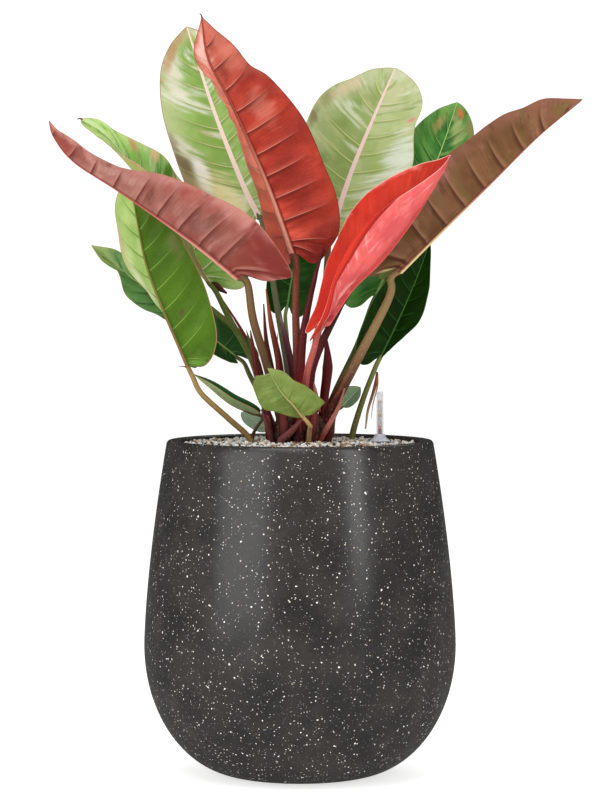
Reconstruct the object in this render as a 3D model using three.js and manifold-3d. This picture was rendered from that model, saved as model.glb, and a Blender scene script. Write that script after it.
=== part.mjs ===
// A prince of orange philodendron in a round terrazzo pot, with its water gauge.
// Sizes are in millimetres. The origin is the middle of the pot's base, +Z is up and the front faces -Y.
import * as THREE from "three";
import { mergeVertices } from "three/addons/utils/BufferGeometryUtils.js";
import Module from "manifold-3d";

// Clearance between two pieces that touch on the real plant, and what a faceted hole needs on top.
const GAP = 0.3;
const FACET_GAP = 0.05;

const POT = {
  height: 387,
  footRadius: 68,
  bellyRadius: 180.3,
  bellyHeight: 150,
  rimRadius: 153.5,
  wall: 14,
  lip: 3,
  sides: 40,
  // Heights of the turned rings above the belly, outside and inside.
  outerRings: [150, 215, 275, 330],
  innerRings: [150, 240, 320],
};

const GRAVEL = {
  edgeHeight: 383,
  crownHeight: 387,
  relief: 1.8,
  // Waves of the uneven surface per millimetre, their phases and their slant.
  ripple: { x: 0.31, y: 0.27, xPhase: 1.3, yPhase: -0.4, slant: 0.11 },
  ringPitch: 14,
  innerRadius: 40,
};

// The crown's profile is [radius, height above its bottom], and its lumps run round it.
const CROWN = {
  bottom: 322,
  profile: [[0, 0], [14, 2], [30, 14], [39, 38], [39, 63], [33, 74], [23, 79], [0, 79]],
  radius: 39,
  middle: 20,
  lump: 2.2,
  lumpPitch: 16,
  sides: 24,
  rootDepth: 14,
};

// Shoots of their own go this far down into the gravel.
const SHOOT_DEPTH = 26;

const BLADE = {
  thickness: 1.2,
  ribDepth: 5.5,
  rows: 14,
  columns: [0, 0.09, 0.4, 0.7, 1],
  smallRows: 9,
  smallColumns: [0, 0.15, 0.55, 1],
  // Length below which a blade takes the small grid.
  smallLength: 95,
  smallRibShare: 0.4,
  ribTaper: 0.8,
  // Share of the length before the side veins leave the foot of the midrib.
  veinLead: 0.15,
  // The veins into the lobes leave the midrib this share of its length apart.
  rootStep: 0.02,
  // Where a side vein bends, as shares of its run along and across.
  veinBend: [0.3, 0.55],
  waveLead: 0.08,
};

// Rings and sides of the stalks, thick and thin, and of the sheaths.
const STALK = { steps: 9, sides: 8, thinSteps: 6, thinSides: 6, thinRadius: 3 };
const SHEATH = { steps: 7, sides: 6, colour: "#5a2226" };

// A stalk's straight neck behind its blade, the cone it ends in, and the clearance to the blade's foot.
const NECK = { length: 14, cone: 7, tipRadius: 0.8, clearance: 1.1 };

const GAUGE = {
  x: 92,
  y: -10,
  ground: 384.5,
  shaftRadius: 9,
  shaftBottom: 60,
  shaftSides: 16,
  collar: [[0, 0], [13, 0], [13, 2], [10.5, 3.5], [7.2, 6], [6, 10], [0, 10]],
  collarRadius: 13,
  collarHeight: 10,
  collarSides: 24,
  tubeRadius: 4.2,
  tubeWall: 0.9,
  tubeHeight: 49,
  bevel: 1,
  float: { radius: 1.6, height: 9, y: -1.1, sides: 12 },
  scale: { width: 4.6, thickness: 0.6, height: 38, y: 1.6 },
};

// Blade outlines: along the length from the foot, and across as a share of the half width.
const OUTLINES = {
  long: [
    [-0.015, 0.1], [-0.085, 0.24], [-0.115, 0.46], [-0.085, 0.7], [0, 0.88], [0.13, 0.98], [0.29, 1],
    [0.46, 0.94], [0.62, 0.8], [0.77, 0.57], [0.885, 0.3], [0.96, 0.09], [1, 0],
  ],
  notched: [
    [-0.015, 0.1], [-0.06, 0.2], [-0.07, 0.36], [-0.03, 0.62], [0.03, 0.86], [0.16, 1], [0.3, 0.99],
    [0.455, 0.955], [0.58, 0.85], [0.67, 0.72], [0.725, 0.57], [0.775, 0.52], [0.826, 0.49], [0.87, 0.43],
    [0.905, 0.34], [0.95, 0.17], [1, 0],
  ],
  narrow: [
    [-0.015, 0.1], [-0.05, 0.25], [-0.05, 0.45], [-0.02, 0.65], [0.04, 0.84], [0.1, 0.96], [0.2, 1],
    [0.3, 0.97], [0.45, 0.86], [0.6, 0.67], [0.74, 0.45], [0.87, 0.26], [0.95, 0.09], [1, 0],
  ],
  slim: [
    [-0.015, 0.1], [-0.09, 0.22], [-0.135, 0.42], [-0.165, 0.66], [-0.07, 0.85], [0.06, 1], [0.16, 1],
    [0.28, 0.93], [0.38, 0.88], [0.48, 0.8], [0.58, 0.56], [0.66, 0.42], [0.77, 0.34], [0.87, 0.28],
    [0.94, 0.15], [1, 0],
  ],
  acute: [
    [-0.015, 0.1], [-0.085, 0.24], [-0.115, 0.46], [-0.085, 0.7], [0, 0.88], [0.13, 0.98], [0.29, 1],
    [0.46, 0.93], [0.59, 0.83], [0.68, 0.78], [0.75, 0.71], [0.81, 0.57], [0.885, 0.46], [0.95, 0.21], [1, 0],
  ],
  spatula: [
    [-0.015, 0.1], [-0.05, 0.2], [-0.06, 0.35], [-0.03, 0.5], [0.05, 0.62], [0.2, 0.72], [0.4, 0.85],
    [0.55, 0.97], [0.67, 1], [0.8, 0.88], [0.9, 0.68], [0.96, 0.42], [0.99, 0.18], [1, 0],
  ],
  wedge: [
    [-0.01, 0.06], [0.05, 0.18], [0.12, 0.38], [0.19, 0.58], [0.26, 0.8], [0.33, 0.96], [0.42, 1],
    [0.52, 0.94], [0.62, 0.82], [0.72, 0.58], [0.8, 0.4], [0.88, 0.24], [0.95, 0.1], [1, 0],
  ],
  stepped: [
    [-0.015, 0.1], [-0.06, 0.22], [-0.1, 0.45], [-0.1, 0.66], [-0.03, 0.84], [0.06, 0.97], [0.16, 1],
    [0.3, 0.97], [0.43, 0.88], [0.52, 0.81], [0.6, 0.82], [0.66, 0.73], [0.73, 0.53], [0.79, 0.36],
    [0.85, 0.23], [0.92, 0.22], [0.975, 0.12], [1, 0],
  ],
  rolled: [
    [-0.01, 0.06], [0.03, 0.12], [0.08, 0.25], [0.16, 0.45], [0.28, 0.72], [0.42, 0.95], [0.55, 1],
    [0.66, 0.8], [0.75, 0.5], [0.82, 0.34], [0.875, 0.29], [0.92, 0.23], [0.957, 0.19], [0.985, 0.11], [1, 0],
  ],
  pinched: [
    [-0.015, 0.1], [-0.046, 0.24], [-0.03, 0.4], [0, 0.54], [0.1, 0.73], [0.28, 0.74], [0.45, 0.78],
    [0.52, 0.93], [0.59, 1], [0.67, 0.92], [0.77, 0.3], [0.82, 0.18], [0.865, 0.33], [0.91, 0.29], [1, 0],
  ],
  dented: [
    [-0.015, 0.1], [-0.075, 0.22], [-0.1, 0.42], [-0.08, 0.64], [-0.01, 0.82], [0.12, 0.92], [0.3, 0.97],
    [0.45, 0.98], [0.53, 0.95], [0.6, 0.87], [0.66, 0.8], [0.73, 0.745], [0.8, 0.745], [0.867, 0.7],
    [0.92, 0.58], [0.96, 0.42], [0.99, 0.18], [1, 0],
  ],
  sloped: [
    [-0.015, 0.1], [-0.075, 0.22], [-0.105, 0.42], [-0.085, 0.64], [-0.01, 0.84], [0.12, 0.96], [0.3, 1],
    [0.5, 0.99], [0.6, 0.98], [0.69, 0.92], [0.77, 0.785], [0.83, 0.61], [0.88, 0.49], [0.93, 0.36],
    [0.975, 0.16], [1, 0],
  ],
  broad: [
    [-0.015, 0.1], [-0.075, 0.22], [-0.105, 0.42], [-0.085, 0.64], [-0.01, 0.84], [0.12, 0.96], [0.3, 1],
    [0.49, 0.97], [0.67, 0.88], [0.82, 0.7], [0.92, 0.42], [0.975, 0.15], [1, 0],
  ],
  full: [
    [-0.01, 0.1], [-0.03, 0.28], [-0.02, 0.46], [0.02, 0.66], [0.09, 0.84], [0.18, 0.96], [0.3, 1],
    [0.49, 0.97], [0.67, 0.9], [0.82, 0.74], [0.92, 0.46], [0.975, 0.18], [1, 0],
  ],
  round: [
    [-0.01, 0.1], [-0.03, 0.28], [-0.02, 0.46], [0.02, 0.66], [0.09, 0.84], [0.2, 0.95], [0.35, 1],
    [0.5, 0.98], [0.65, 0.86], [0.78, 0.64], [0.89, 0.38], [0.96, 0.15], [1, 0],
  ],
  furled: [
    [-0.015, 0.1], [-0.085, 0.13], [-0.105, 0.2], [-0.05, 0.27], [0.01, 0.31], [0.07, 0.38], [0.155, 0.52],
    [0.275, 0.77], [0.37, 0.93], [0.48, 1], [0.61, 0.96], [0.75, 0.76], [0.87, 0.47], [0.95, 0.2], [1, 0],
  ],
  lobedRight: [
    [-0.02, 0.1], [-0.07, 0.31], [-0.065, 0.63], [-0.05, 0.85], [-0.03, 1], [0.1, 0.95], [0.25, 0.87],
    [0.4, 0.76], [0.55, 0.64], [0.77, 0.5], [0.89, 0.28], [0.96, 0.12], [1, 0],
  ],
  lobedLeft: [
    [0, 0.1], [0.04, 0.25], [0.15, 0.48], [0.27, 0.6], [0.4, 0.75], [0.51, 0.98], [0.62, 0.99],
    [0.78, 0.92], [0.92, 0.85], [1, 0.65], [1.045, 0.38], [1.03, 0.15], [1, 0],
  ],
};

// Each leaf: the midrib's points from foot to tip, the way the upper face looks along it, and then, for
// the right and the left half seen from above, its half width, its fold towards the upper face and its
// curl across the half in degrees, and its margin's wave as height, number and phase.
// The stalk's points start in the crown or, for a shoot of its own, in the gravel.
const LEAVES = {
  red: {
    spine: [[-9, -40, 603], [-38, -52, 683], [-76, -70, 767], [-102, -82, 818], [-110, -88, 866]],
    face: [[0.1, 1, 0.25], [0.25, 1, 0.2], [0.35, 1, 0.2]],
    outline: ["narrow", "notched"],
    half: [72, 71],
    fold: [[60, 61, 65, 66, 66, 62, 57, 20, 5], [8, 12, 18, 25]],
    curl: [[0], [-25, -15, 0]],
    wave: [[3, 2, 0], [3, 2.2, 0.2]],
    stalk: [[-6, 3, 389], [-3, -12, 457], [-5, -32, 537]],
    radii: [6, 5.2, 4.4, 4],
    colours: ["#a5402f", "#7a4a38"],
  },
  cream_left: {
    spine: [[-49, 72, 646], [-68, 80, 685], [-101, 100, 769], [-135, 124, 873]],
    face: [[0.2, -1, 0.3], [0.15, -1, 0.25]],
    outline: ["broad", "broad"],
    half: [58, 67],
    fold: [[10], [14]],
    curl: [[0], [-15]],
    wave: [[2, 2, 0], [3, 2, 0.45]],
    stalk: [[-14, 29, 392], [-13, 34, 455], [-26, 52, 536]],
    radii: [4.8, 4.5, 4, 3.6],
    colours: ["#b5c48a", "#5f5f4d"],
  },
  rose: {
    spine: [
      [-70, -60, 576], [-124, -84, 619], [-196, -115, 669], [-248, -136, 702], [-270, -144, 728],
      [-276, -148, 747],
    ],
    face: [[0.55, 0.5, 0.7], [0.55, 0.45, 0.75], [0.7, 0.5, 0.3]],
    outline: ["narrow", "slim"],
    half: [58, 60],
    fold: [[50, 48, 42, 38, 36, 38, 42, 48, 50], [55, 65, 88, 95, 104, 108, 98, 75, 50]],
    curl: [[0], [-5]],
    wave: [[2, 2, 0], [3, 2, 0.2]],
    stalk: [[-17, -24, 388], [-37, -38, 471], [-53, -52, 526]],
    radii: [5.2, 5, 4.8, 4.2],
    colours: ["#b4685c", "#8a5f42"],
  },
  lime: {
    spine: [[-105, 20, 568], [-136, 30, 610], [-193, 48, 697], [-225, 58, 739], [-257, 66, 760]],
    face: [[0.3, -0.85, 0.4], [0.3, -0.8, 0.5]],
    outline: ["stepped", "rolled"],
    half: [49, 40],
    fold: [[20], [84, 84, 80, 74, 66, 60, 45, 10, 0]],
    curl: [[0], [30, 30, 30, 20, 0]],
    wave: [[3, 2, 0], [3, 2, 0]],
    stalk: [[-33, 1, 389], [-53, 14, 472], [-81, 19, 525]],
    radii: [4.4, 4.2, 3.8, 3.2],
    colours: ["#8cb45e", "#747240"],
  },
  drooping: {
    spine: [[-128, -30, 473], [-155, -36, 536], [-175, -40, 590], [-188, -46, 656], [-196, -48, 687]],
    face: [[0.3, 1, 0.2], [0.2, 1, 0.2]],
    outline: ["full", "round"],
    half: [58, 54],
    fold: [[95, 88, 62, 52, 46, 38, 28], [12]],
    curl: [[0], [0]],
    wave: [[4, 2.4, 0.3], [3, 2, 0.5]],
    stalk: [[-57, -22, 388], [-82, -28, 413], [-112, -33, 441]],
    radii: [3.6, 3.4, 3.2, 3],
    shoot: true,
    colours: ["#5d8a38", "#8f7648"],
  },
  dark_left: {
    spine: [[-77, 60, 483], [-130, 78, 523], [-196, 100, 571], [-249, 118, 613]],
    face: [[0.3, -0.8, 0.5]],
    outline: ["acute", "pinched"],
    half: [30, 27],
    fold: [[40], [15]],
    curl: [[0], [-20]],
    wave: [[2, 2, 0], [3, 1.5, 0]],
    stalk: [[-27, 26, 391], [-44, 45, 431], [-59, 55, 460]],
    radii: [4, 3.5, 3, 2.6],
    colours: ["#3d6b3a", "#5a2f28"],
  },
  front: {
    spine: [[3, -75, 418], [-7, -76, 431], [-21, -72, 446], [-37, -60, 472]],
    face: [[0.1, 1, 0.3]],
    outline: ["lobedLeft", "lobedRight"],
    half: [31, 30],
    fold: [[6], [6]],
    curl: [[0], [0]],
    wave: [[0, 1, 0], [0, 1, 0]],
    stalk: [[10, -50, 387], [11, -62, 403]],
    radii: [3, 2.8, 2.5, 2.3],
    shoot: true,
    colours: ["#7a9a48", "#9a9558"],
  },
  folded: {
    spine: [[-56, -10, 419], [-80, -12, 430], [-104, -15, 449], [-122, -18, 464]],
    face: [[0.35, -0.5, 0.6]],
    outline: ["long", "long"],
    half: [12, 13],
    fold: [[66], [70]],
    curl: [[0], [0]],
    wave: [[0, 1, 0], [0, 1, 0]],
    stalk: [[-55, -1, 389], [-51, -6, 400]],
    radii: [2.4, 2, 1.8, 1.6],
    shoot: true,
    colours: ["#5c7a4e", "#7d6a42"],
  },
  tiny_back: {
    spine: [[-38, 70, 396], [-52, 76, 404], [-70, 88, 415]],
    face: [[0.2, -0.8, 0.5]],
    outline: ["round", "round"],
    half: [13, 13],
    fold: [[15], [15]],
    curl: [[0], [0]],
    wave: [[0, 1, 0], [0, 1, 0]],
    stalk: [[-24, 64, 386]],
    radii: [1.8, 1.6, 1.5],
    shoot: true,
    colours: ["#93ab90", "#6d6c44"],
  },
  cream_right: {
    spine: [[38, 60, 632], [61, 80, 700], [87, 108, 763], [114, 140, 825]],
    face: [[0, -1, 0.25]],
    outline: ["dented", "sloped"],
    half: [66, 72],
    fold: [[6], [8]],
    curl: [[-20], [-10]],
    wave: [[3, 2, 0.3], [3, 2, 0]],
    stalk: [[8, 18, 391], [14, 40, 467], [29, 55, 560]],
    radii: [5.2, 4.8, 4.2, 3.6],
    colours: ["#a9c07e", "#7a5a4a"],
  },
  green_right: {
    spine: [[90, 98, 553], [124, 120, 627], [165, 148, 716], [190, 170, 786]],
    face: [[0, -1, 0.3]],
    outline: ["spatula", "broad"],
    half: [42, 54],
    fold: [[4], [20]],
    curl: [[-10], [-10]],
    wave: [[2, 2, 0], [2, 2, 0.5]],
    stalk: [[20, 22, 390], [42, 53, 442], [67, 78, 494]],
    radii: [4.4, 3.8, 3.2, 2.8],
    colours: ["#4d8440", "#4e4d2c"],
  },
  bronze: {
    spine: [[112, -70, 583], [161, -95, 632], [210, -120, 680], [261, -142, 730], [310, -155, 770]],
    face: [[-0.55, 0.5, 0.7], [-0.55, 0.5, 0.7], [-0.45, 0.5, 0.8]],
    outline: ["acute", "long"],
    half: [62, 59],
    fold: [[50, 50, 50, 45], [50]],
    curl: [[-15], [0]],
    wave: [[2, 2, 0.1], [3, 2, 0]],
    stalk: [[23, -9, 390], [38, -20, 428], [60, -40, 471], [100, -62, 550]],
    radii: [8, 7, 6, 4.8, 4.2],
    colours: ["#7d5a3e", "#84593f"],
  },
  new: {
    spine: [
      [29, -62, 524], [56, -82, 563], [89, -104, 595], [123, -128, 638], [155, -150, 688], [165, -156, 709],
    ],
    face: [[-0.7, 0, 0.6]],
    outline: ["furled", "furled"],
    half: [54, 63],
    fold: [[5], [78]],
    curl: [[88], [-15]],
    wave: [[0, 1, 0], [0, 1, 0]],
    stalk: [[3, -25, 388], [7, -46, 458], [16, -56, 494]],
    radii: [4.6, 4.2, 3.8, 3],
    colours: ["#d2483a", "#b8685a"],
  },
  dark_right: {
    spine: [[94, 60, 480], [114, 70, 520], [135, 82, 567], [148, 90, 601], [154, 98, 622]],
    face: [[0.2, -1, 0.2]],
    outline: ["wedge", "long"],
    half: [28, 40],
    fold: [[45], [15]],
    curl: [[0], [0]],
    wave: [[1.5, 2, 0], [1.5, 2, 0]],
    stalk: [[61, 48, 388], [73, 54, 429]],
    radii: [4, 3.6, 3.2, 3],
    shoot: true,
    colours: ["#2c5427", "#72883a"],
  },
  tiny_right: {
    spine: [[50, 50, 424], [61, 56, 436], [71, 60, 446]],
    face: [[-0.2, -0.8, 0.5]],
    outline: ["round", "round"],
    half: [13, 14],
    fold: [[20], [20]],
    curl: [[0], [0]],
    wave: [[0, 1, 0], [0, 1, 0]],
    stalk: [[38, 44, 386]],
    radii: [2.4, 2, 1.8],
    shoot: true,
    colours: ["#86a27e", "#56603a"],
  },
  dark_back: {
    spine: [[-15, 66, 541], [-8, 76, 583], [5, 104, 649]],
    face: [[0.1, -1, 0.2]],
    outline: ["broad", "broad"],
    half: [30, 30],
    fold: [[15], [15]],
    curl: [[0], [0]],
    wave: [[1, 2, 0], [1, 2, 0.5]],
    stalk: [[-1, 31, 391], [-12, 52, 454], [-15, 62, 501]],
    radii: [3.4, 3, 2.6, 2.4],
    colours: ["#24491f", "#6e7d3c"],
  },
};

// The dried or fresh sheaths that stood round each young leaf, from the crown to their tips, and two low
// bracts that stand in the gravel in front of it.
const SHEATHS = {
  sheath_tall: {
    path: [[-5, -12, 389], [-1, -20, 434], [3, -34, 503], [15, -43, 566], [27, -48, 609]],
    radii: [5, 6, 5, 3, 0.8],
  },
  sheath_long: {
    path: [[8, -11, 389], [13, -24, 466], [42, -46, 535], [58, -62, 561], [72, -80, 584]],
    radii: [4.5, 5, 4.4, 3, 0.8],
  },
  sheath_swollen: {
    path: [[23, 9, 389], [28, 8, 435], [32, 6, 471], [30, 4, 508]],
    radii: [4, 5.5, 6.3, 1],
  },
  sheath_amber: {
    path: [[-20, -2, 389], [-23, -8, 468], [-33, -13, 520], [-39, -16, 561]],
    radii: [3.8, 4.6, 3, 0.8],
  },
  sheath_slim: {
    path: [[-21, 11, 390], [-32, 6, 465], [-39, 4, 502], [-42, 2, 544]],
    radii: [3.4, 3.4, 2.6, 0.8],
  },
  sheath_purple: {
    path: [[-7, 18, 391], [-8, 10, 458], [-16, 4, 502], [-23, 2, 531]],
    radii: [4, 4.4, 3.8, 0.8],
  },
  sheath_short: {
    path: [[-29, -12, 389], [-49, -15, 462], [-54, -16, 494], [-57, -16, 514]],
    radii: [3.4, 3.2, 2.6, 0.6],
  },
  sheath_thin: {
    path: [[-32, 15, 390], [-47, 26, 472], [-66, 28, 510], [-89, 30, 547]],
    radii: [3, 2.4, 2, 0.8],
  },
  bract_left: { path: [[-32, -29, 388], [-38, -33, 407], [-44, -34, 424]], radii: [3.2, 3, 1] },
  bract_front: { path: [[-22, -44, 388], [-10, -46, 399], [2, -47, 413]], radii: [4.2, 4.4, 1.5] },
};

const wasm = await Module();
wasm.setup();

// The geometry's points with equal ones merged, and without faces that have shrunk to a line.
function closedGeometry(geometry) {
  const bare = geometry.clone();
  bare.deleteAttribute("normal");
  bare.deleteAttribute("uv");
  const merged = mergeVertices(bare, 1e-3);
  const index = Array.from(merged.index.array);
  const kept = [];
  for (let i = 0; i < index.length; i += 3) {
    const [a, b, c] = index.slice(i, i + 3);
    if (a !== b && b !== c && c !== a) kept.push(a, b, c);
  }
  merged.setIndex(kept);
  return merged;
}

function toSolid(geometry) {
  const closed = closedGeometry(geometry);
  return new wasm.Manifold(
    new wasm.Mesh({
      numProp: 3,
      vertProperties: closed.attributes.position.array,
      triVerts: new Uint32Array(closed.index.array),
    }),
  );
}

function toGeometry(solid) {
  const { vertProperties, triVerts } = solid.getMesh();
  return new THREE.BufferGeometry()
    .setAttribute("position", new THREE.BufferAttribute(vertProperties, 3))
    .setIndex(new THREE.BufferAttribute(triVerts, 1));
}

function piece(name, geometry, colour, roughness = 0.5, extra = {}) {
  geometry.computeVertexNormals();
  const material = new THREE.MeshStandardMaterial({ color: colour, roughness, metalness: 0, ...extra });
  const mesh = new THREE.Mesh(geometry, material);
  mesh.name = name;
  return mesh;
}

// A value that runs evenly through a list as x goes from 0 to 1.
function along(list, x) {
  const at = THREE.MathUtils.clamp(x, 0, 1) * (list.length - 1);
  const low = Math.min(Math.floor(at), list.length - 2);
  return list.length === 1 ? list[0] : THREE.MathUtils.lerp(list[low], list[low + 1], at - low);
}

// A turned solid: the profile is [radius, height] from the axis at the bottom round to the axis at the top.
function turned(profile, sides) {
  const points = profile.map(([radius, height]) => new THREE.Vector2(radius, height));
  return closedGeometry(new THREE.LatheGeometry(points, sides).rotateX(Math.PI / 2));
}

function potRadius(height) {
  if (height < POT.bellyHeight) {
    const low = 1 - height / POT.bellyHeight;
    return POT.footRadius + (POT.bellyRadius - POT.footRadius) * Math.sqrt(1 - low * low);
  }
  const share = (height - POT.bellyHeight) / (POT.height - POT.bellyHeight);
  return POT.bellyRadius - (POT.bellyRadius - POT.rimRadius) * share ** 1.5;
}

// The inside of the pot at a height, a wall's thickness in from the outside.
function insideRadius(height) {
  const low = Math.max(0, 1 - (height - POT.wall) / (POT.bellyHeight - POT.wall));
  const foot = POT.footRadius - POT.wall / 2;
  const belly = POT.bellyRadius - POT.wall;
  return low > 0 ? foot + (belly - foot) * Math.sqrt(1 - low * low) : potRadius(height) - POT.wall;
}

// Heights on a quarter ellipse between two levels, closer together near the lower one.
function bowlHeights(from, to, steps) {
  return Array.from({ length: steps }, (_, i) => to - (to - from) * Math.cos((i / steps) * (Math.PI / 2)));
}

function insideHeights() {
  return [...bowlHeights(POT.wall, POT.bellyHeight, 5), ...POT.innerRings];
}

function makePot() {
  const outer = [...bowlHeights(0, POT.bellyHeight, 7), ...POT.outerRings].map((h) => [potRadius(h), h]);
  const inner = insideHeights().map((h) => [insideRadius(h), h]);
  const top = POT.height;
  const lip = [
    [POT.rimRadius, top - POT.lip],
    [POT.rimRadius - POT.lip, top],
    [POT.rimRadius - POT.wall + POT.lip, top],
    [POT.rimRadius - POT.wall, top - POT.lip],
  ];
  return turned([[0, 0], ...outer, ...lip, ...inner.reverse(), [0, POT.wall]], POT.sides);
}

// The crown: a short thick stem with leaf scars, mostly under the gravel.
function crownBody(swell = 0) {
  const body = turned(CROWN.profile.map(([r, h]) => [r === 0 ? 0 : r + swell, h]), CROWN.sides);
  const at = body.attributes.position;
  for (let i = 0; i < at.count; i++) {
    const angle = Math.atan2(at.getY(i), at.getX(i));
    const reach = Math.hypot(at.getX(i), at.getY(i));
    const share = Math.min(1, reach / CROWN.radius);
    const lump = CROWN.lump * share * Math.sin(3 * angle + at.getZ(i) / CROWN.lumpPitch);
    const scale = reach > 0 ? (reach + lump) / reach : 1;
    const lift = at.getZ(i) > CROWN.middle ? swell : -swell;
    at.setXYZ(i, at.getX(i) * scale, at.getY(i) * scale, CROWN.bottom + at.getZ(i) + lift);
  }
  return body;
}

// A solid round a smooth curve, with a radius that changes along it. The last ring closes a short cone.
function stalkBody(path, radii, steps, sides, swell = 0) {
  const curve = new THREE.CatmullRomCurve3(path.map((p) => new THREE.Vector3(...p)), false, "centripetal");
  const frames = curve.computeFrenetFrames(steps - 1, false);
  const coneStart = 1 - NECK.cone / curve.getLength();
  const body = new THREE.CylinderGeometry(1, 1, 1, sides, steps);
  const at = body.attributes.position;
  for (let i = 0; i < at.count; i++) {
    const step = Math.round((at.getY(i) + 0.5) * steps);
    const share = step === steps ? 1 : (step / (steps - 1)) * coneStart;
    const forward = frames.tangents[Math.min(step, steps - 1)];
    const across = frames.normals[Math.min(step, steps - 1)];
    const up = new THREE.Vector3().crossVectors(across, forward);
    const radius = (step === steps ? NECK.tipRadius : along(radii, share)) + swell;
    const end = step === 0 ? -swell : step === steps ? swell : 0;
    const point = curve.getPointAt(share)
      .addScaledVector(across, at.getX(i) * radius)
      .addScaledVector(up, at.getZ(i) * radius)
      .addScaledVector(forward, end);
    at.setXYZ(i, point.x, point.y, point.z);
  }
  return body;
}

function smoothCurve(points) {
  return new THREE.CatmullRomCurve3(points.map((p) => new THREE.Vector3(...p)), false, "catmullrom");
}

// A leaf's midrib, and at a distance along it the centre, the way to the tip, to the right and up.
function midrib(leaf) {
  const curve = smoothCurve(leaf.spine);
  const facing = leaf.face.length > 1 ? smoothCurve(leaf.face) : null;
  const length = curve.getLength();
  return {
    length,
    frame(distance) {
      const share = THREE.MathUtils.clamp(distance / length, 0, 1);
      const forward = curve.getTangentAt(share);
      const centre = curve.getPointAt(share).addScaledVector(forward, distance - share * length);
      const look = facing ? facing.getPoint(share) : new THREE.Vector3(...leaf.face[0]);
      const up = look.addScaledVector(forward, -look.dot(forward)).normalize();
      const right = new THREE.Vector3().crossVectors(forward, up);
      return { centre, forward, right, up };
    },
  };
}

function outlineCurve(name) {
  return smoothCurve(OUTLINES[name].map(([x, y]) => [x, y, 0]));
}

// Where a side vein has run a share of its way from the midrib to the margin, on the blade laid flat: along
// the midrib and across, as shares of the length and of the half width.
function veinPlace(root, edge, share) {
  const start = new THREE.Vector2(root, 0);
  const [bendAlong, bendAcross] = BLADE.veinBend;
  const bend = new THREE.Vector2(root + bendAlong * (edge.x - root), bendAcross * edge.y);
  return new THREE.QuadraticBezierCurve(start, bend, new THREE.Vector2(edge.x, edge.y)).getPoint(share);
}

// The place in space of a place on the flat blade.
function bladePoint(leaf, rib, half, flat) {
  const width = leaf.half[half];
  const side = half === 0 ? 1 : -1;
  const { centre, right, up } = rib.frame(flat.x * rib.length);
  const fold = THREE.MathUtils.degToRad(along(leaf.fold[half], flat.x));
  const turn = THREE.MathUtils.degToRad(along(leaf.curl[half], flat.x)) * flat.y;
  const reach = width * flat.y;
  const straight = Math.abs(turn) < 1e-3;
  const out = straight ? reach * Math.cos(fold) : (reach * (Math.sin(fold + turn) - Math.sin(fold))) / turn;
  const lift = straight ? reach * Math.sin(fold) : (reach * (Math.cos(fold) - Math.cos(fold + turn))) / turn;
  const [height, count, phase] = leaf.wave[half];
  const reached = THREE.MathUtils.clamp(THREE.MathUtils.lerp(BLADE.waveLead, 1, flat.x), 0, 1);
  const fade = flat.y ** 2 * Math.sin(Math.PI * reached);
  const wave = height * fade * Math.sin(2 * Math.PI * (count * flat.x + phase));
  const lean = fold + turn;
  return centre
    .addScaledVector(right, side * (out - wave * Math.sin(lean)))
    .addScaledVector(up, lift + wave * Math.cos(lean));
}

// A leaf blade: two halves that meet in the midrib, as thick sheets with a raised rib underneath.
function bladeBody(leaf) {
  const rib = midrib(leaf);
  const small = rib.length < BLADE.smallLength;
  const rows = small ? BLADE.smallRows : BLADE.rows;
  const columns = small ? BLADE.smallColumns : BLADE.columns;
  const depth = BLADE.ribDepth * (small ? BLADE.smallRibShare : 1);
  const outlines = leaf.outline.map(outlineCurve);
  const points = [];
  const flats = [];
  const ribs = [];
  const ids = new Map();
  const grid = [[], []];
  for (let row = 0; row < rows; row++) {
    const edges = outlines.map((curve) => curve.getPoint(row / (rows - 1)));
    const middle = (edges[0].x + edges[1].x) / 2;
    const lead = (middle - BLADE.veinLead) / (1 - BLADE.veinLead);
    const root = Math.min(1, Math.max(lead, BLADE.rootStep * row));
    const down = rib.frame(root * rib.length).up.negate();
    const ribFall = down.multiplyScalar(BLADE.thickness + depth * (1 - root) ** BLADE.ribTaper);
    for (const half of [0, 1]) {
      grid[half][row] = columns.map((share) => {
        const flat = veinPlace(root, edges[half], share);
        const point = bladePoint(leaf, rib, half, flat);
        const key = point.toArray().map((value) => Math.round(value * 500)).join();
        if (!ids.has(key)) {
          ids.set(key, points.length);
          points.push(point);
          flats.push(flat);
          ribs.push(share === 0 ? ribFall : null);
        }
        return ids.get(key);
      });
    }
  }
  const faces = [];
  for (const half of [0, 1]) {
    for (let row = 0; row + 1 < rows; row++) {
      for (let column = 0; column + 1 < columns.length; column++) {
        const [a, b] = grid[half][row].slice(column, column + 2);
        const [d, c] = grid[half][row + 1].slice(column, column + 2);
        for (const [i, j, k] of splitQuad(a, b, c, d, flats)) {
          if (i !== j && j !== k && k !== i) faces.push(half === 0 ? [i, j, k] : [i, k, j]);
        }
      }
    }
  }
  return thickened(points, faces, ribs);
}

// Two triangles for a quad of the flat blade, along the diagonal that folds neither of them over.
function splitQuad(a, b, c, d, flats) {
  const turn = ([i, j, k]) => {
    const first = flats[j].clone().sub(flats[i]);
    return first.cross(flats[k].clone().sub(flats[i]));
  };
  const worst = (pair) => Math.max(...pair.map(turn));
  const options = [[[a, b, c], [a, c, d]], [[a, b, d], [b, c, d]]];
  return worst(options[0]) <= worst(options[1]) ? options[0] : options[1];
}

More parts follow.
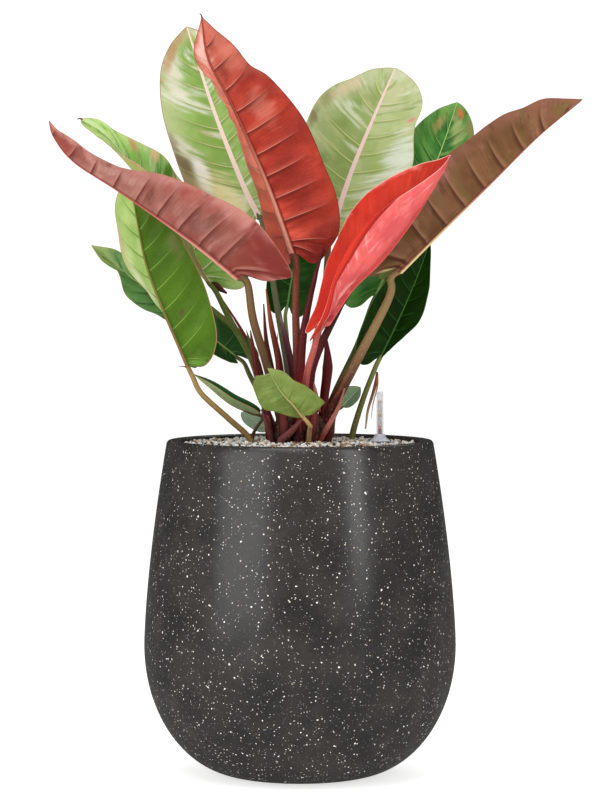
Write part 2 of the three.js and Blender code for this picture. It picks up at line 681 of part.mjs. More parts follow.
// Gives a sheet its thickness: a copy of each face underneath, and walls round its edge. A folded blade
// is open above, so its upper face stays as it is and can't cross itself. Points on the rib fall straight
// down by the rib's own depth.
function thickened(points, faces, ribs) {
  const sheet = new THREE.BufferGeometry().setFromPoints(points).setIndex(faces.flat());
  sheet.computeVertexNormals();
  const normals = sheet.attributes.normal;
  const count = points.length;
  const above = [];
  const below = [];
  points.forEach((point, i) => {
    const normal = new THREE.Vector3().fromBufferAttribute(normals, i);
    above.push(point.clone());
    below.push(point.clone().add(ribs[i] ?? normal.multiplyScalar(-BLADE.thickness)));
  });
  const directed = new Set(faces.flatMap(([a, b, c]) => [`${a},${b}`, `${b},${c}`, `${c},${a}`]));
  const walls = [];
  for (const edge of directed) {
    const [a, b] = edge.split(",").map(Number);
    if (!directed.has(`${b},${a}`)) walls.push(b, a, a + count, b, a + count, b + count);
  }
  const under = faces.flatMap(([a, b, c]) => [c + count, b + count, a + count]);
  const body = new THREE.BufferGeometry().setFromPoints([...above, ...below]);
  return body.setIndex([...faces.flat(), ...under, ...walls]);
}

// A stalk's whole path: down into what it grows from, and straight into the foot of its blade.
function stalkPath(leaf) {
  const { centre, forward } = midrib(leaf).frame(0);
  const depth = leaf.shoot ? SHOOT_DEPTH : CROWN.rootDepth;
  const [x, y, z] = leaf.stalk[0];
  const neck = centre.clone().addScaledVector(forward, -NECK.length).toArray();
  const end = centre.clone().addScaledVector(forward, -NECK.clearance).toArray();
  return [[x, y, z - depth], ...leaf.stalk, neck, end];
}

// The height of the gravel: a low mound, with pebbles as an uneven surface.
function gravelHeight(x, y) {
  const reach = Math.min(1, Math.hypot(x, y) / (POT.rimRadius - POT.wall));
  const mound = THREE.MathUtils.lerp(GRAVEL.crownHeight, GRAVEL.edgeHeight, reach * reach);
  const ripple = GRAVEL.ripple;
  const first = Math.sin(ripple.x * x + ripple.xPhase);
  const second = Math.sin(ripple.y * y + ripple.slant * x + ripple.yPhase);
  return mound + GRAVEL.relief * first * second;
}

// The substrate fills the pot up to its gravel top.
function substrateBody() {
  const wall = insideHeights().map((h) => [insideRadius(h) - GAP, Math.max(h, POT.wall + GAP)]);
  const edge = POT.rimRadius - POT.wall - GAP;
  const rings = [];
  for (let radius = edge; radius > GRAVEL.innerRadius; radius -= GRAVEL.ringPitch) {
    rings.push([radius, GRAVEL.edgeHeight]);
  }
  const middle = [[GRAVEL.innerRadius / 2, GRAVEL.edgeHeight], [0, GRAVEL.edgeHeight]];
  const body = turned([[0, POT.wall + GAP], ...wall, ...rings, ...middle], POT.sides);
  const at = body.attributes.position;
  for (let i = 0; i < at.count; i++) {
    const onTop = at.getZ(i) > GRAVEL.edgeHeight - 1;
    if (onTop) at.setZ(i, gravelHeight(at.getX(i), at.getY(i)));
  }
  return body;
}

// The water gauge: a shaft down to the reservoir, a bell-shaped collar on the gravel, and a clear tube
// with the float and its scale inside.
function makeGauge() {
  const gauge = new THREE.Group();
  gauge.position.set(GAUGE.x, GAUGE.y, GAUGE.ground);
  const { shaftRadius, shaftSides, collarHeight, tubeRadius, tubeWall, bevel, float } = GAUGE;
  const bottom = GAUGE.shaftBottom - GAUGE.ground;
  const shaft = turned([[0, bottom], [shaftRadius, bottom], [shaftRadius, -GAP], [0, -GAP]], shaftSides);
  const collar = turned(GAUGE.collar, GAUGE.collarSides);
  const inner = tubeRadius - tubeWall;
  const foot = collarHeight + GAP;
  const top = collarHeight + GAUGE.tubeHeight;
  const tubeProfile = [
    [inner, foot], [tubeRadius, foot], [tubeRadius, top - bevel], [tubeRadius - bevel, top], [0, top],
    [0, top - tubeWall], [inner, top - tubeWall], [inner, foot],
  ];
  const tube = turned(tubeProfile, shaftSides);
  const floatTop = foot + float.height;
  const floatProfile = [[0, foot], [float.radius, foot], [float.radius, floatTop - bevel], [0, floatTop]];
  const bobber = turned(floatProfile, float.sides).translate(0, float.y, 0);
  const { width, thickness, height, y } = GAUGE.scale;
  const scale = new THREE.BoxGeometry(width, thickness, height).translate(0, y, foot + height / 2);
  gauge.add(
    piece("gauge_shaft", shaft, "#3a3a3c", 0.5),
    piece("gauge_collar", collar, "#c9cbd2", 0.3),
    piece("gauge_tube", tube, "#d5d8dc", 0.1, { transparent: true, opacity: 0.45 }),
    piece("gauge_float", bobber, "#c8402c", 0.4),
    piece("gauge_scale", scale, "#e4e4e0", 0.5),
  );
  return gauge;
}

// The round hole that a turned piece of the gauge stands in, from its lower end up to a height.
function gaugeHole(radius, bottom, top, sides) {
  const reach = radius + GAP;
  const hole = turned([[0, bottom - GAP], [reach, bottom - GAP], [reach, top], [0, top]], sides);
  return toSolid(hole.translate(GAUGE.x, GAUGE.y, 0));
}

// The stalks and sheaths stand in plain holes that are cut from the crown and from the gravel.
function makePlant() {
  const plant = new THREE.Group();
  const clear = POT.height + GRAVEL.ringPitch;
  let crown = toSolid(crownBody());
  let soil = toSolid(substrateBody())
    .subtract(toSolid(crownBody(GAP + 2 * FACET_GAP)))
    .subtract(gaugeHole(GAUGE.shaftRadius, GAUGE.shaftBottom, clear, GAUGE.shaftSides))
    .subtract(gaugeHole(GAUGE.collarRadius, GAUGE.ground, clear, GAUGE.collarSides));
  const planted = (name, colour, path, radii, steps, sides) => {
    const hole = toSolid(stalkBody(path, radii, steps, sides, GAP + FACET_GAP));
    soil = soil.subtract(hole);
    crown = crown.subtract(hole);
    plant.add(piece(name, stalkBody(path, radii, steps, sides), colour, 0.5));
  };
  for (const [name, leaf] of Object.entries(LEAVES)) {
    const [bladeColour, stalkColour] = leaf.colours;
    const radii = [leaf.radii[0], ...leaf.radii, leaf.radii.at(-1)];
    const thin = leaf.radii[0] < STALK.thinRadius;
    const steps = thin ? STALK.thinSteps : STALK.steps;
    const sides = thin ? STALK.thinSides : STALK.sides;
    plant.add(piece(`leaf_${name}`, closedGeometry(bladeBody(leaf)), bladeColour, 0.4));
    planted(`stalk_${name}`, stalkColour, stalkPath(leaf), radii, steps, sides);
  }
  for (const [name, { path, radii }] of Object.entries(SHEATHS)) {
    const [x, y, z] = path[0];
    const rooted = [[x, y, z - CROWN.rootDepth], ...path];
    planted(name, SHEATH.colour, rooted, [radii[0], ...radii], SHEATH.steps, SHEATH.sides);
  }
  plant.add(piece("crown", toGeometry(crown), "#4a3026", 0.8));
  plant.add(piece("substrate", toGeometry(soil), "#b9ab98", 0.9));
  return plant;
}

const group = new THREE.Group();
group.add(piece("pot", makePot(), "#2b2c2f", 0.35), makePlant(), makeGauge());

export default group;
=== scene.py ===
# %% [markdown]
# # A prince of orange philodendron in a terrazzo pot
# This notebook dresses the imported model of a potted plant. The construction fixes where every leaf, stalk
# and sheath is. Here each of them gets its fine surface: leaf blades with raised veins, rounded stalks,
# loose gravel and a speckled pot. Sizes are worked out in millimetres and turned into metres at the end.

# %% Load the frame
import math
import bmesh
import bpy
import numpy as np
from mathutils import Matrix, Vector, noise


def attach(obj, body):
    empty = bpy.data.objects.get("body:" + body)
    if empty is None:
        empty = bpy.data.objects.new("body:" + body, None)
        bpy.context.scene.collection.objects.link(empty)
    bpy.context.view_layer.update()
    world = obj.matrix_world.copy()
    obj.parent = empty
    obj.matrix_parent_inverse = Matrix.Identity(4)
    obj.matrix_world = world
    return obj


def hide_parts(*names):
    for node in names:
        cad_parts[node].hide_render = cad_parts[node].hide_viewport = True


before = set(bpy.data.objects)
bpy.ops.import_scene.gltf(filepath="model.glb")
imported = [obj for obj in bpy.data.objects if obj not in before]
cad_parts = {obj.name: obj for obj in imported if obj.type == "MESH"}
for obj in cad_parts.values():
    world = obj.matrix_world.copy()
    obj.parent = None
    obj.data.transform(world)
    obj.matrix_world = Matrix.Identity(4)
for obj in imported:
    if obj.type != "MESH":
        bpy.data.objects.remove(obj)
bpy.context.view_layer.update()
MM = 0.001
scene = bpy.context.scene
scene.view_settings.view_transform = "Standard"

# %% [markdown]
# ## The camera
# The photograph is taken from a little above the rim of the pot, almost level, with a long lens. The ellipse
# of the rim gives the height and the tilt, so the camera is worked out from them and not moved by eye.

# %% Camera
PICTURE_HEIGHT = 800
FOCAL_PIXELS = 2947.7
SENSOR = 36.0
CAMERA_PLACE = (0.0, -3.4, 0.5743)
CAMERA_TILT = 2.378

camera_data = bpy.data.cameras.new("camera")
camera_data.sensor_width = SENSOR
camera_data.lens = FOCAL_PIXELS / PICTURE_HEIGHT * SENSOR
camera = bpy.data.objects.new("camera", camera_data)
camera.location = CAMERA_PLACE
camera.rotation_euler = (math.radians(90 - CAMERA_TILT), 0, 0)
scene.collection.objects.link(camera)
scene.camera = camera
print("lens:", round(camera_data.lens, 1), "mm")

# %% [markdown]
# ## The studio
# The plant stands on a round sheet of pale paper in a white room. Both look equally bright, so no horizon
# shows from any side. Two tall soft boxes stand at the sides, because the pot shows them as soft upright
# streaks. One broad light above and in front of the plant models the leaves, and a small one behind it
# brightens their edges. The room is bright all round, but dimmer where the satin pot would mirror it, or the
# dark pot would look veiled.

# %% Floor and lights
def linked(name, mesh):
    """An object with the given mesh, put into the scene."""
    made = bpy.data.objects.new(name, mesh)
    scene.collection.objects.link(made)
    return made


def mesh_object(name, points, faces):
    mesh = bpy.data.meshes.new(name)
    mesh.from_pydata([tuple(p) for p in points], [], faces)
    mesh.update()
    return linked(name, mesh)


def make_floor(radius=9.0, sides=64):
    """A round sheet of paper, large enough to fill the view from any side."""
    turns = [k / sides * 2 * math.pi for k in range(sides)]
    points = [(radius * math.cos(a), radius * math.sin(a), 0.0) for a in turns]
    return mesh_object("floor_paper", points, [tuple(range(sides))])


def soft_box(name, place, aim, size, power):
    data = bpy.data.lights.new(name, "AREA")
    data.shape = "RECTANGLE"
    data.size, data.size_y = size
    data.energy = power
    light = bpy.data.objects.new(name, data)
    light.location = place
    scene.collection.objects.link(light)
    to_aim = np.array(aim) - np.array(place)
    light.rotation_mode = "QUATERNION"
    light.rotation_quaternion = Vector(to_aim).to_track_quat("-Z", "Y")
    return light


paper_floor = make_floor()
plant_middle = (0.0, 0.0, 0.5)
soft_box("light_left", (-1.9, -1.9, 1.1), (0, 0, 0.4), (2.0, 1.9), 26)
soft_box("light_right", (1.7, -1.7, 1.3), (0, 0, 0.4), (0.55, 1.7), 14)
soft_box("light_above", (-0.6, -1.7, 2.8), plant_middle, (2.0, 1.4), 28)
soft_box("light_behind", (0.9, 1.6, 2.4), plant_middle, (1.6, 1.0), 9)
world = bpy.data.worlds.new("studio")
world.use_nodes = True
ROOM_LIGHT, ROOM_MIRRORED, ROOM_SEEN = 0.42, 0.05, 1.1
background = world.node_tree.nodes["Background"]
background.inputs["Color"].default_value = (1, 1, 1, 1)
ray = world.node_tree.nodes.new("ShaderNodeLightPath").outputs
mirrored = world.node_tree.nodes.new("ShaderNodeMix")
mirrored.inputs["A"].default_value = ROOM_LIGHT
mirrored.inputs["B"].default_value = ROOM_MIRRORED
seen = world.node_tree.nodes.new("ShaderNodeMix")
seen.inputs["B"].default_value = ROOM_SEEN
for source, target in (
    (ray["Is Glossy Ray"], mirrored.inputs["Factor"]),
    (mirrored.outputs["Result"], seen.inputs["A"]),
    (ray["Is Camera Ray"], seen.inputs["Factor"]),
    (seen.outputs["Result"], background.inputs["Strength"]),
):
    world.node_tree.links.new(source, target)
scene.world = world

# %% [markdown]
# ## Helpers for materials
# Every finish below is a small tree of nodes. A few helpers keep them short: one adds a node and fills in
# its sockets, others mix two colours by a mask or do sums, and one turns a colour from its usual hex writing
# into the linear values that Blender works in.

# %% Node helpers
def linear(code):
    """A hex colour as linear red, green, blue and alpha."""
    values = [int(code[i:i + 2], 16) / 255 for i in (1, 3, 5)]
    return (*[v / 12.92 if v <= 0.04045 else ((v + 0.055) / 1.055) ** 2.4 for v in values], 1.0)


class Tree:
    """Adds nodes to a material or a node group and links what it is given."""

    def __init__(self, nodes, links):
        self.nodes = nodes
        self.links = links

    def put(self, socket, value):
        if isinstance(value, bpy.types.NodeSocket):
            self.links.new(value, socket)
        elif isinstance(value, str) and value.startswith("#"):
            socket.default_value = linear(value)
        else:
            socket.default_value = value

    def add(self, kind, inputs=None, **settings):
        node = self.nodes.new(kind)
        for key, value in settings.items():
            setattr(node, key, value)
        for key, value in (inputs or {}).items():
            self.put(node.inputs[key], value)
        return node

    def math(self, operation, *values):
        return self.add("ShaderNodeMath", dict(enumerate(values)), operation=operation).outputs[0]

    def times(self, first, second):
        return self.math("MULTIPLY", first, second)

    def vector(self, operation, *values):
        return self.add("ShaderNodeVectorMath", dict(enumerate(values)), operation=operation).outputs[0]

    def place(self):
        """Where a point lies on its object, in metres."""
        return self.add("ShaderNodeTexCoord").outputs["Object"]

    def map(self, name):
        """The two numbers of a UV map."""
        split = self.add("ShaderNodeSeparateXYZ", {0: self.add("ShaderNodeUVMap", uv_map=name).outputs[0]})
        return split.outputs["X"], split.outputs["Y"]

    def combine(self, x, y, z):
        return self.add("ShaderNodeCombineXYZ", {0: x, 1: y, 2: z}).outputs[0]

    def ramp(self, value, low, high):
        """0 below low and 1 above high, or the other way round where low is above high."""
        inputs = {"Value": value, "From Min": low, "From Max": high}
        return self.add("ShaderNodeMapRange", inputs, interpolation_type="SMOOTHSTEP").outputs["Result"]

    def mix(self, mask, first, second):
        node = self.add("ShaderNodeMix", data_type="RGBA")
        self.put(node.inputs[0], mask)
        self.put(node.inputs[6], first)
        self.put(node.inputs[7], second)
        return node.outputs[2]

    def noise(self, vector, scale, detail=3.0, roughness=0.55):
        inputs = {"Vector": vector, "Scale": scale, "Detail": detail, "Roughness": roughness}
        return self.add("ShaderNodeTexNoise", inputs).outputs["Fac"]

    def surface(self, shader, colour, roughness, height, strength, distance, gloss=0.5):
        """Gives a shader its colour, roughness, bump and gloss."""
        self.put(shader.inputs["Base Color"], colour)
        self.put(shader.inputs["Roughness"], roughness)
        bump = self.add("ShaderNodeBump", {"Strength": strength, "Distance": distance, "Height": height})
        self.put(shader.inputs["Normal"], bump.outputs[0])
        self.put(shader.inputs["Specular IOR Level"], gloss)


def new_material(name):
    """A material with its tree and its Principled shader."""
    material = bpy.data.materials.new(name)
    material.use_nodes = True
    nodes = material.node_tree.nodes
    return material, Tree(nodes, material.node_tree.links), nodes["Principled BSDF"]


def open_group(name, inputs):
    """A node group with its tree and the sockets that bring its number inputs."""
    group = bpy.data.node_groups.new(name, "ShaderNodeTree")
    for label, value in inputs.items():
        socket = group.interface.new_socket(label, in_out="INPUT", socket_type="NodeSocketFloat")
        socket.default_value = value
    return group, Tree(group.nodes, group.links), group.nodes.new("NodeGroupInput").outputs


def close_group(group, results):
    """Gives a node group an output for each result."""
    for label, socket in results.items():
        kind = "NodeSocketVector" if socket.type == "VECTOR" else "NodeSocketFloat"
        group.interface.new_socket(label, in_out="OUTPUT", socket_type=kind)
    outputs = group.nodes.new("NodeGroupOutput").inputs
    for label, socket in results.items():
        group.links.new(socket, outputs[label])


print("helpers ready")

# %% [markdown]
# ## The outlines of the blades
# A blade is described flat first. Its outline runs from the foot of the midrib to the tip: each point gives
# how far along the midrib it is and how far across, as a share of the half width. Points below zero are the
# lobes that reach back past the stalk. Each half of a leaf has an outline of its own, because no leaf on
# this plant is even. These are the same outlines that the construction has.

# %% Outlines
OUTLINES = {
    "long": [
        (-0.015, 0.1), (-0.085, 0.24), (-0.115, 0.46), (-0.085, 0.7), (0, 0.88), (0.13, 0.98), (0.29, 1),
        (0.46, 0.94), (0.62, 0.8), (0.77, 0.57), (0.885, 0.3), (0.96, 0.09), (1, 0),
    ],
    "notched": [
        (-0.015, 0.1), (-0.06, 0.2), (-0.07, 0.36), (-0.03, 0.62), (0.03, 0.86), (0.16, 1), (0.3, 0.99),
        (0.455, 0.955), (0.58, 0.85), (0.67, 0.72), (0.725, 0.57), (0.775, 0.52), (0.826, 0.49),
        (0.87, 0.43), (0.905, 0.34), (0.95, 0.17), (1, 0),
    ],
    "narrow": [
        (-0.015, 0.1), (-0.05, 0.25), (-0.05, 0.45), (-0.02, 0.65), (0.04, 0.84), (0.1, 0.96), (0.2, 1),
        (0.3, 0.97), (0.45, 0.86), (0.6, 0.67), (0.74, 0.45), (0.87, 0.26), (0.95, 0.09), (1, 0),
    ],
    "slim": [
        (-0.015, 0.1), (-0.09, 0.22), (-0.135, 0.42), (-0.165, 0.66), (-0.07, 0.85), (0.06, 1), (0.16, 1),
        (0.28, 0.93), (0.38, 0.88), (0.48, 0.8), (0.58, 0.56), (0.66, 0.42), (0.77, 0.34), (0.87, 0.28),
        (0.94, 0.15), (1, 0),
    ],
    "acute": [
        (-0.015, 0.1), (-0.085, 0.24), (-0.115, 0.46), (-0.085, 0.7), (0, 0.88), (0.13, 0.98), (0.29, 1),
        (0.46, 0.93), (0.59, 0.83), (0.68, 0.78), (0.75, 0.71), (0.81, 0.57), (0.885, 0.46), (0.95, 0.21),
        (1, 0),
    ],
    "spatula": [
        (-0.015, 0.1), (-0.05, 0.2), (-0.06, 0.35), (-0.03, 0.5), (0.05, 0.62), (0.2, 0.72), (0.4, 0.85),
        (0.55, 0.97), (0.67, 1), (0.8, 0.88), (0.9, 0.68), (0.96, 0.42), (0.99, 0.18), (1, 0),
    ],
    "wedge": [
        (-0.01, 0.06), (0.05, 0.18), (0.12, 0.38), (0.19, 0.58), (0.26, 0.8), (0.33, 0.96), (0.42, 1),
        (0.52, 0.94), (0.62, 0.82), (0.72, 0.58), (0.8, 0.4), (0.88, 0.24), (0.95, 0.1), (1, 0),
    ],
    "stepped": [
        (-0.015, 0.1), (-0.06, 0.22), (-0.1, 0.45), (-0.1, 0.66), (-0.03, 0.84), (0.06, 0.97), (0.16, 1),
        (0.3, 0.97), (0.43, 0.88), (0.52, 0.81), (0.6, 0.82), (0.66, 0.73), (0.73, 0.53), (0.79, 0.36),
        (0.85, 0.23), (0.92, 0.22), (0.975, 0.12), (1, 0),
    ],
    "rolled": [
        (-0.01, 0.06), (0.03, 0.12), (0.08, 0.25), (0.16, 0.45), (0.28, 0.72), (0.42, 0.95), (0.55, 1),
        (0.66, 0.8), (0.75, 0.5), (0.82, 0.34), (0.875, 0.29), (0.92, 0.23), (0.957, 0.19), (0.985, 0.11),
        (1, 0),
    ],
    "pinched": [
        (-0.015, 0.1), (-0.046, 0.24), (-0.03, 0.4), (0, 0.54), (0.1, 0.73), (0.28, 0.74), (0.45, 0.78),
        (0.52, 0.93), (0.59, 1), (0.67, 0.92), (0.77, 0.3), (0.82, 0.18), (0.865, 0.33), (0.91, 0.29),
        (1, 0),
    ],
    "dented": [
        (-0.015, 0.1), (-0.075, 0.22), (-0.1, 0.42), (-0.08, 0.64), (-0.01, 0.82), (0.12, 0.92),
        (0.3, 0.97), (0.45, 0.98), (0.53, 0.95), (0.6, 0.87), (0.66, 0.8), (0.73, 0.745), (0.8, 0.745),
        (0.867, 0.7), (0.92, 0.58), (0.96, 0.42), (0.99, 0.18), (1, 0),
    ],
    "sloped": [
        (-0.015, 0.1), (-0.075, 0.22), (-0.105, 0.42), (-0.085, 0.64), (-0.01, 0.84), (0.12, 0.96),
        (0.3, 1), (0.5, 0.99), (0.6, 0.98), (0.69, 0.92), (0.77, 0.785), (0.83, 0.61), (0.88, 0.49),
        (0.93, 0.36), (0.975, 0.16), (1, 0),
    ],
    "broad": [
        (-0.015, 0.1), (-0.075, 0.22), (-0.105, 0.42), (-0.085, 0.64), (-0.01, 0.84), (0.12, 0.96),
        (0.3, 1), (0.49, 0.97), (0.67, 0.88), (0.82, 0.7), (0.92, 0.42), (0.975, 0.15), (1, 0),
    ],
    "full": [
        (-0.01, 0.1), (-0.03, 0.28), (-0.02, 0.46), (0.02, 0.66), (0.09, 0.84), (0.18, 0.96), (0.3, 1),
        (0.49, 0.97), (0.67, 0.9), (0.82, 0.74), (0.92, 0.46), (0.975, 0.18), (1, 0),
    ],
    "round": [
        (-0.01, 0.1), (-0.03, 0.28), (-0.02, 0.46), (0.02, 0.66), (0.09, 0.84), (0.2, 0.95), (0.35, 1),
        (0.5, 0.98), (0.65, 0.86), (0.78, 0.64), (0.89, 0.38), (0.96, 0.15), (1, 0),
    ],
    "furled": [
        (-0.015, 0.1), (-0.085, 0.13), (-0.105, 0.2), (-0.05, 0.27), (0.01, 0.31), (0.07, 0.38),
        (0.155, 0.52), (0.275, 0.77), (0.37, 0.93), (0.48, 1), (0.61, 0.96), (0.75, 0.76), (0.87, 0.47),
        (0.95, 0.2), (1, 0),
    ],
    "lobedRight": [
        (-0.02, 0.1), (-0.07, 0.31), (-0.065, 0.63), (-0.05, 0.85), (-0.03, 1), (0.1, 0.95), (0.25, 0.87),
        (0.4, 0.76), (0.55, 0.64), (0.77, 0.5), (0.89, 0.28), (0.96, 0.12), (1, 0),
    ],
    "lobedLeft": [
        (0, 0.1), (0.04, 0.25), (0.15, 0.48), (0.27, 0.6), (0.4, 0.75), (0.51, 0.98), (0.62, 0.99),
        (0.78, 0.92), (0.92, 0.85), (1, 0.65), (1.045, 0.38), (1.03, 0.15), (1, 0),
    ],
}
print("outlines:", len(OUTLINES))

# %% [markdown]
# ## The leaves
# Each leaf has a midrib in space, a direction that its upper face looks in, and for each half its width, how
# steeply it folds up from the midrib, how it curls and how its margin waves. The stalk's points start in the
# crown, or in the gravel where a shoot stands for itself. All of it repeats the construction's values, in
# millimetres, so that the fine blade lies where the plain one is.

# %% Leaf sizes and places
PLAIN_LEAF = dict(curl=[[0], [0]], wave=[[0, 1, 0], [0, 1, 0]], shoot=False)


def leaf_form(**own):
    """One leaf's values, on top of those of a flat leaf that comes out of the crown."""
    return {**PLAIN_LEAF, **own}


LEAVES = {
    "red": leaf_form(
        spine=[[-9, -40, 603], [-38, -52, 683], [-76, -70, 767], [-102, -82, 818], [-110, -88, 866]],
        face=[[0.1, 1, 0.25], [0.25, 1, 0.2], [0.35, 1, 0.2]], outline=["narrow", "notched"], half=[72, 71],
        fold=[[60, 61, 65, 66, 66, 62, 57, 20, 5], [8, 12, 18, 25]], curl=[[0], [-25, -15, 0]],
        wave=[[3, 2, 0], [3, 2.2, 0.2]], stalk=[[-6, 3, 389], [-3, -12, 457], [-5, -32, 537]],
        radii=[6, 5.2, 4.4, 4],
    ),
    "cream_left": leaf_form(
        spine=[[-49, 72, 646], [-68, 80, 685], [-101, 100, 769], [-135, 124, 873]],
        face=[[0.2, -1, 0.3], [0.15, -1, 0.25]], outline=["broad", "broad"], half=[58, 67],
        fold=[[10], [14]], curl=[[0], [-15]], wave=[[2, 2, 0], [3, 2, 0.45]],
        stalk=[[-14, 29, 392], [-13, 34, 455], [-26, 52, 536]], radii=[4.8, 4.5, 4, 3.6],
    ),
    "rose": leaf_form(
        spine=[[-70, -60, 576], [-124, -84, 619], [-196, -115, 669], [-248, -136, 702], [-270, -144, 728],
               [-276, -148, 747]],
        face=[[0.55, 0.5, 0.7], [0.55, 0.45, 0.75], [0.7, 0.5, 0.3]], outline=["narrow", "slim"],
        half=[58, 60], fold=[[50, 48, 42, 38, 36, 38, 42, 48, 50], [55, 65, 88, 95, 104, 108, 98, 75, 50]],
        curl=[[0], [-5]], wave=[[2, 2, 0], [3, 2, 0.2]],
        stalk=[[-17, -24, 388], [-37, -38, 471], [-53, -52, 526]], radii=[5.2, 5, 4.8, 4.2],
    ),
    "lime": leaf_form(
        spine=[[-105, 20, 568], [-136, 30, 610], [-193, 48, 697], [-225, 58, 739], [-257, 66, 760]],
        face=[[0.3, -0.85, 0.4], [0.3, -0.8, 0.5]], outline=["stepped", "rolled"], half=[49, 40],
        fold=[[20], [84, 84, 80, 74, 66, 60, 45, 10, 0]], curl=[[0], [30, 30, 30, 20, 0]],
        wave=[[3, 2, 0], [3, 2, 0]], stalk=[[-33, 1, 389], [-53, 14, 472], [-81, 19, 525]],
        radii=[4.4, 4.2, 3.8, 3.2],
    ),
    "drooping": leaf_form(
        spine=[[-128, -30, 473], [-155, -36, 536], [-175, -40, 590], [-188, -46, 656], [-196, -48, 687]],
        face=[[0.3, 1, 0.2], [0.2, 1, 0.2]], outline=["full", "round"], half=[58, 54],
        fold=[[95, 88, 62, 52, 46, 38, 28], [12]], wave=[[4, 2.4, 0.3], [3, 2, 0.5]],
        stalk=[[-57, -22, 388], [-82, -28, 413], [-112, -33, 441]], radii=[3.6, 3.4, 3.2, 3], shoot=True,
    ),
    "dark_left": leaf_form(
        spine=[[-77, 60, 483], [-130, 78, 523], [-196, 100, 571], [-249, 118, 613]],
        face=[[0.3, -0.8, 0.5]], outline=["acute", "pinched"], half=[30, 27], fold=[[40], [15]],
        curl=[[0], [-20]], wave=[[2, 2, 0], [3, 1.5, 0]],
        stalk=[[-27, 26, 391], [-44, 45, 431], [-59, 55, 460]], radii=[4, 3.5, 3, 2.6],
    ),
    "front": leaf_form(
        spine=[[3, -75, 418], [-7, -76, 431], [-21, -72, 446], [-37, -60, 472]],
        face=[[0.1, 1, 0.3]], outline=["lobedLeft", "lobedRight"], half=[31, 30], fold=[[6], [6]],
        stalk=[[10, -50, 387], [11, -62, 403]], radii=[3, 2.8, 2.5, 2.3], shoot=True,
    ),
    "folded": leaf_form(
        spine=[[-56, -10, 419], [-80, -12, 430], [-104, -15, 449], [-122, -18, 464]],
        face=[[0.35, -0.5, 0.6]], outline=["long", "long"], half=[12, 13], fold=[[66], [70]],
        stalk=[[-55, -1, 389], [-51, -6, 400]], radii=[2.4, 2, 1.8, 1.6], shoot=True,
    ),
    "tiny_back": leaf_form(
        spine=[[-38, 70, 396], [-52, 76, 404], [-70, 88, 415]],
        face=[[0.2, -0.8, 0.5]], outline=["round", "round"], half=[13, 13], fold=[[15], [15]],
        stalk=[[-24, 64, 386]], radii=[1.8, 1.6, 1.5], shoot=True,
    ),
    "cream_right": leaf_form(
        spine=[[38, 60, 632], [61, 80, 700], [87, 108, 763], [114, 140, 825]],
        face=[[0, -1, 0.25]], outline=["dented", "sloped"], half=[66, 72], fold=[[6], [8]],
        curl=[[-20], [-10]], wave=[[3, 2, 0.3], [3, 2, 0]],
        stalk=[[8, 18, 391], [14, 40, 467], [29, 55, 560]], radii=[5.2, 4.8, 4.2, 3.6],
    ),
    "green_right": leaf_form(
        spine=[[90, 98, 553], [124, 120, 627], [165, 148, 716], [190, 170, 786]],
        face=[[0, -1, 0.3]], outline=["spatula", "broad"], half=[42, 54], fold=[[4], [20]],
        curl=[[-10], [-10]], wave=[[2, 2, 0], [2, 2, 0.5]],
        stalk=[[20, 22, 390], [42, 53, 442], [67, 78, 494]], radii=[4.4, 3.8, 3.2, 2.8],
    ),
    "bronze": leaf_form(
        spine=[[112, -70, 583], [161, -95, 632], [210, -120, 680], [261, -142, 730], [310, -155, 770]],
        face=[[-0.55, 0.5, 0.7], [-0.55, 0.5, 0.7], [-0.45, 0.5, 0.8]], outline=["acute", "long"],
        half=[62, 59], fold=[[50, 50, 50, 45], [50]], curl=[[-15], [0]], wave=[[2, 2, 0.1], [3, 2, 0]],
        stalk=[[23, -9, 390], [38, -20, 428], [60, -40, 471], [100, -62, 550]], radii=[8, 7, 6, 4.8, 4.2],
    ),
    "new": leaf_form(
        spine=[[29, -62, 524], [56, -82, 563], [89, -104, 595], [123, -128, 638], [155, -150, 688],
               [165, -156, 709]],
        face=[[-0.7, 0, 0.6]], outline=["furled", "furled"], half=[54, 63], fold=[[5], [78]],
        curl=[[88], [-15]], stalk=[[3, -25, 388], [7, -46, 458], [16, -56, 494]], radii=[4.6, 4.2, 3.8, 3],
    ),
    "dark_right": leaf_form(
        spine=[[94, 60, 480], [114, 70, 520], [135, 82, 567], [148, 90, 601], [154, 98, 622]],
        face=[[0.2, -1, 0.2]], outline=["wedge", "long"], half=[28, 40], fold=[[45], [15]],
        wave=[[1.5, 2, 0], [1.5, 2, 0]], stalk=[[61, 48, 388], [73, 54, 429]], radii=[4, 3.6, 3.2, 3],
        shoot=True,
    ),
    "tiny_right": leaf_form(
        spine=[[50, 50, 424], [61, 56, 436], [71, 60, 446]],
        face=[[-0.2, -0.8, 0.5]], outline=["round", "round"], half=[13, 14], fold=[[20], [20]],
        stalk=[[38, 44, 386]], radii=[2.4, 2, 1.8], shoot=True,
    ),
    "dark_back": leaf_form(
        spine=[[-15, 66, 541], [-8, 76, 583], [5, 104, 649]],
        face=[[0.1, -1, 0.2]], outline=["broad", "broad"], half=[30, 30], fold=[[15], [15]],
        wave=[[1, 2, 0], [1, 2, 0.5]], stalk=[[-1, 31, 391], [-12, 52, 454], [-15, 62, 501]],
        radii=[3.4, 3, 2.6, 2.4],
    ),
}
print("leaves:", len(LEAVES))

# %% [markdown]
# ## Smooth curves
# The midribs and outlines are smooth curves through a few points. A Catmull-Rom curve passes through every
# point it is given, so the points can be read as places on the leaf. Along a midrib the samples are spaced by
# distance, not by point, or the veins would crowd together where the points do.

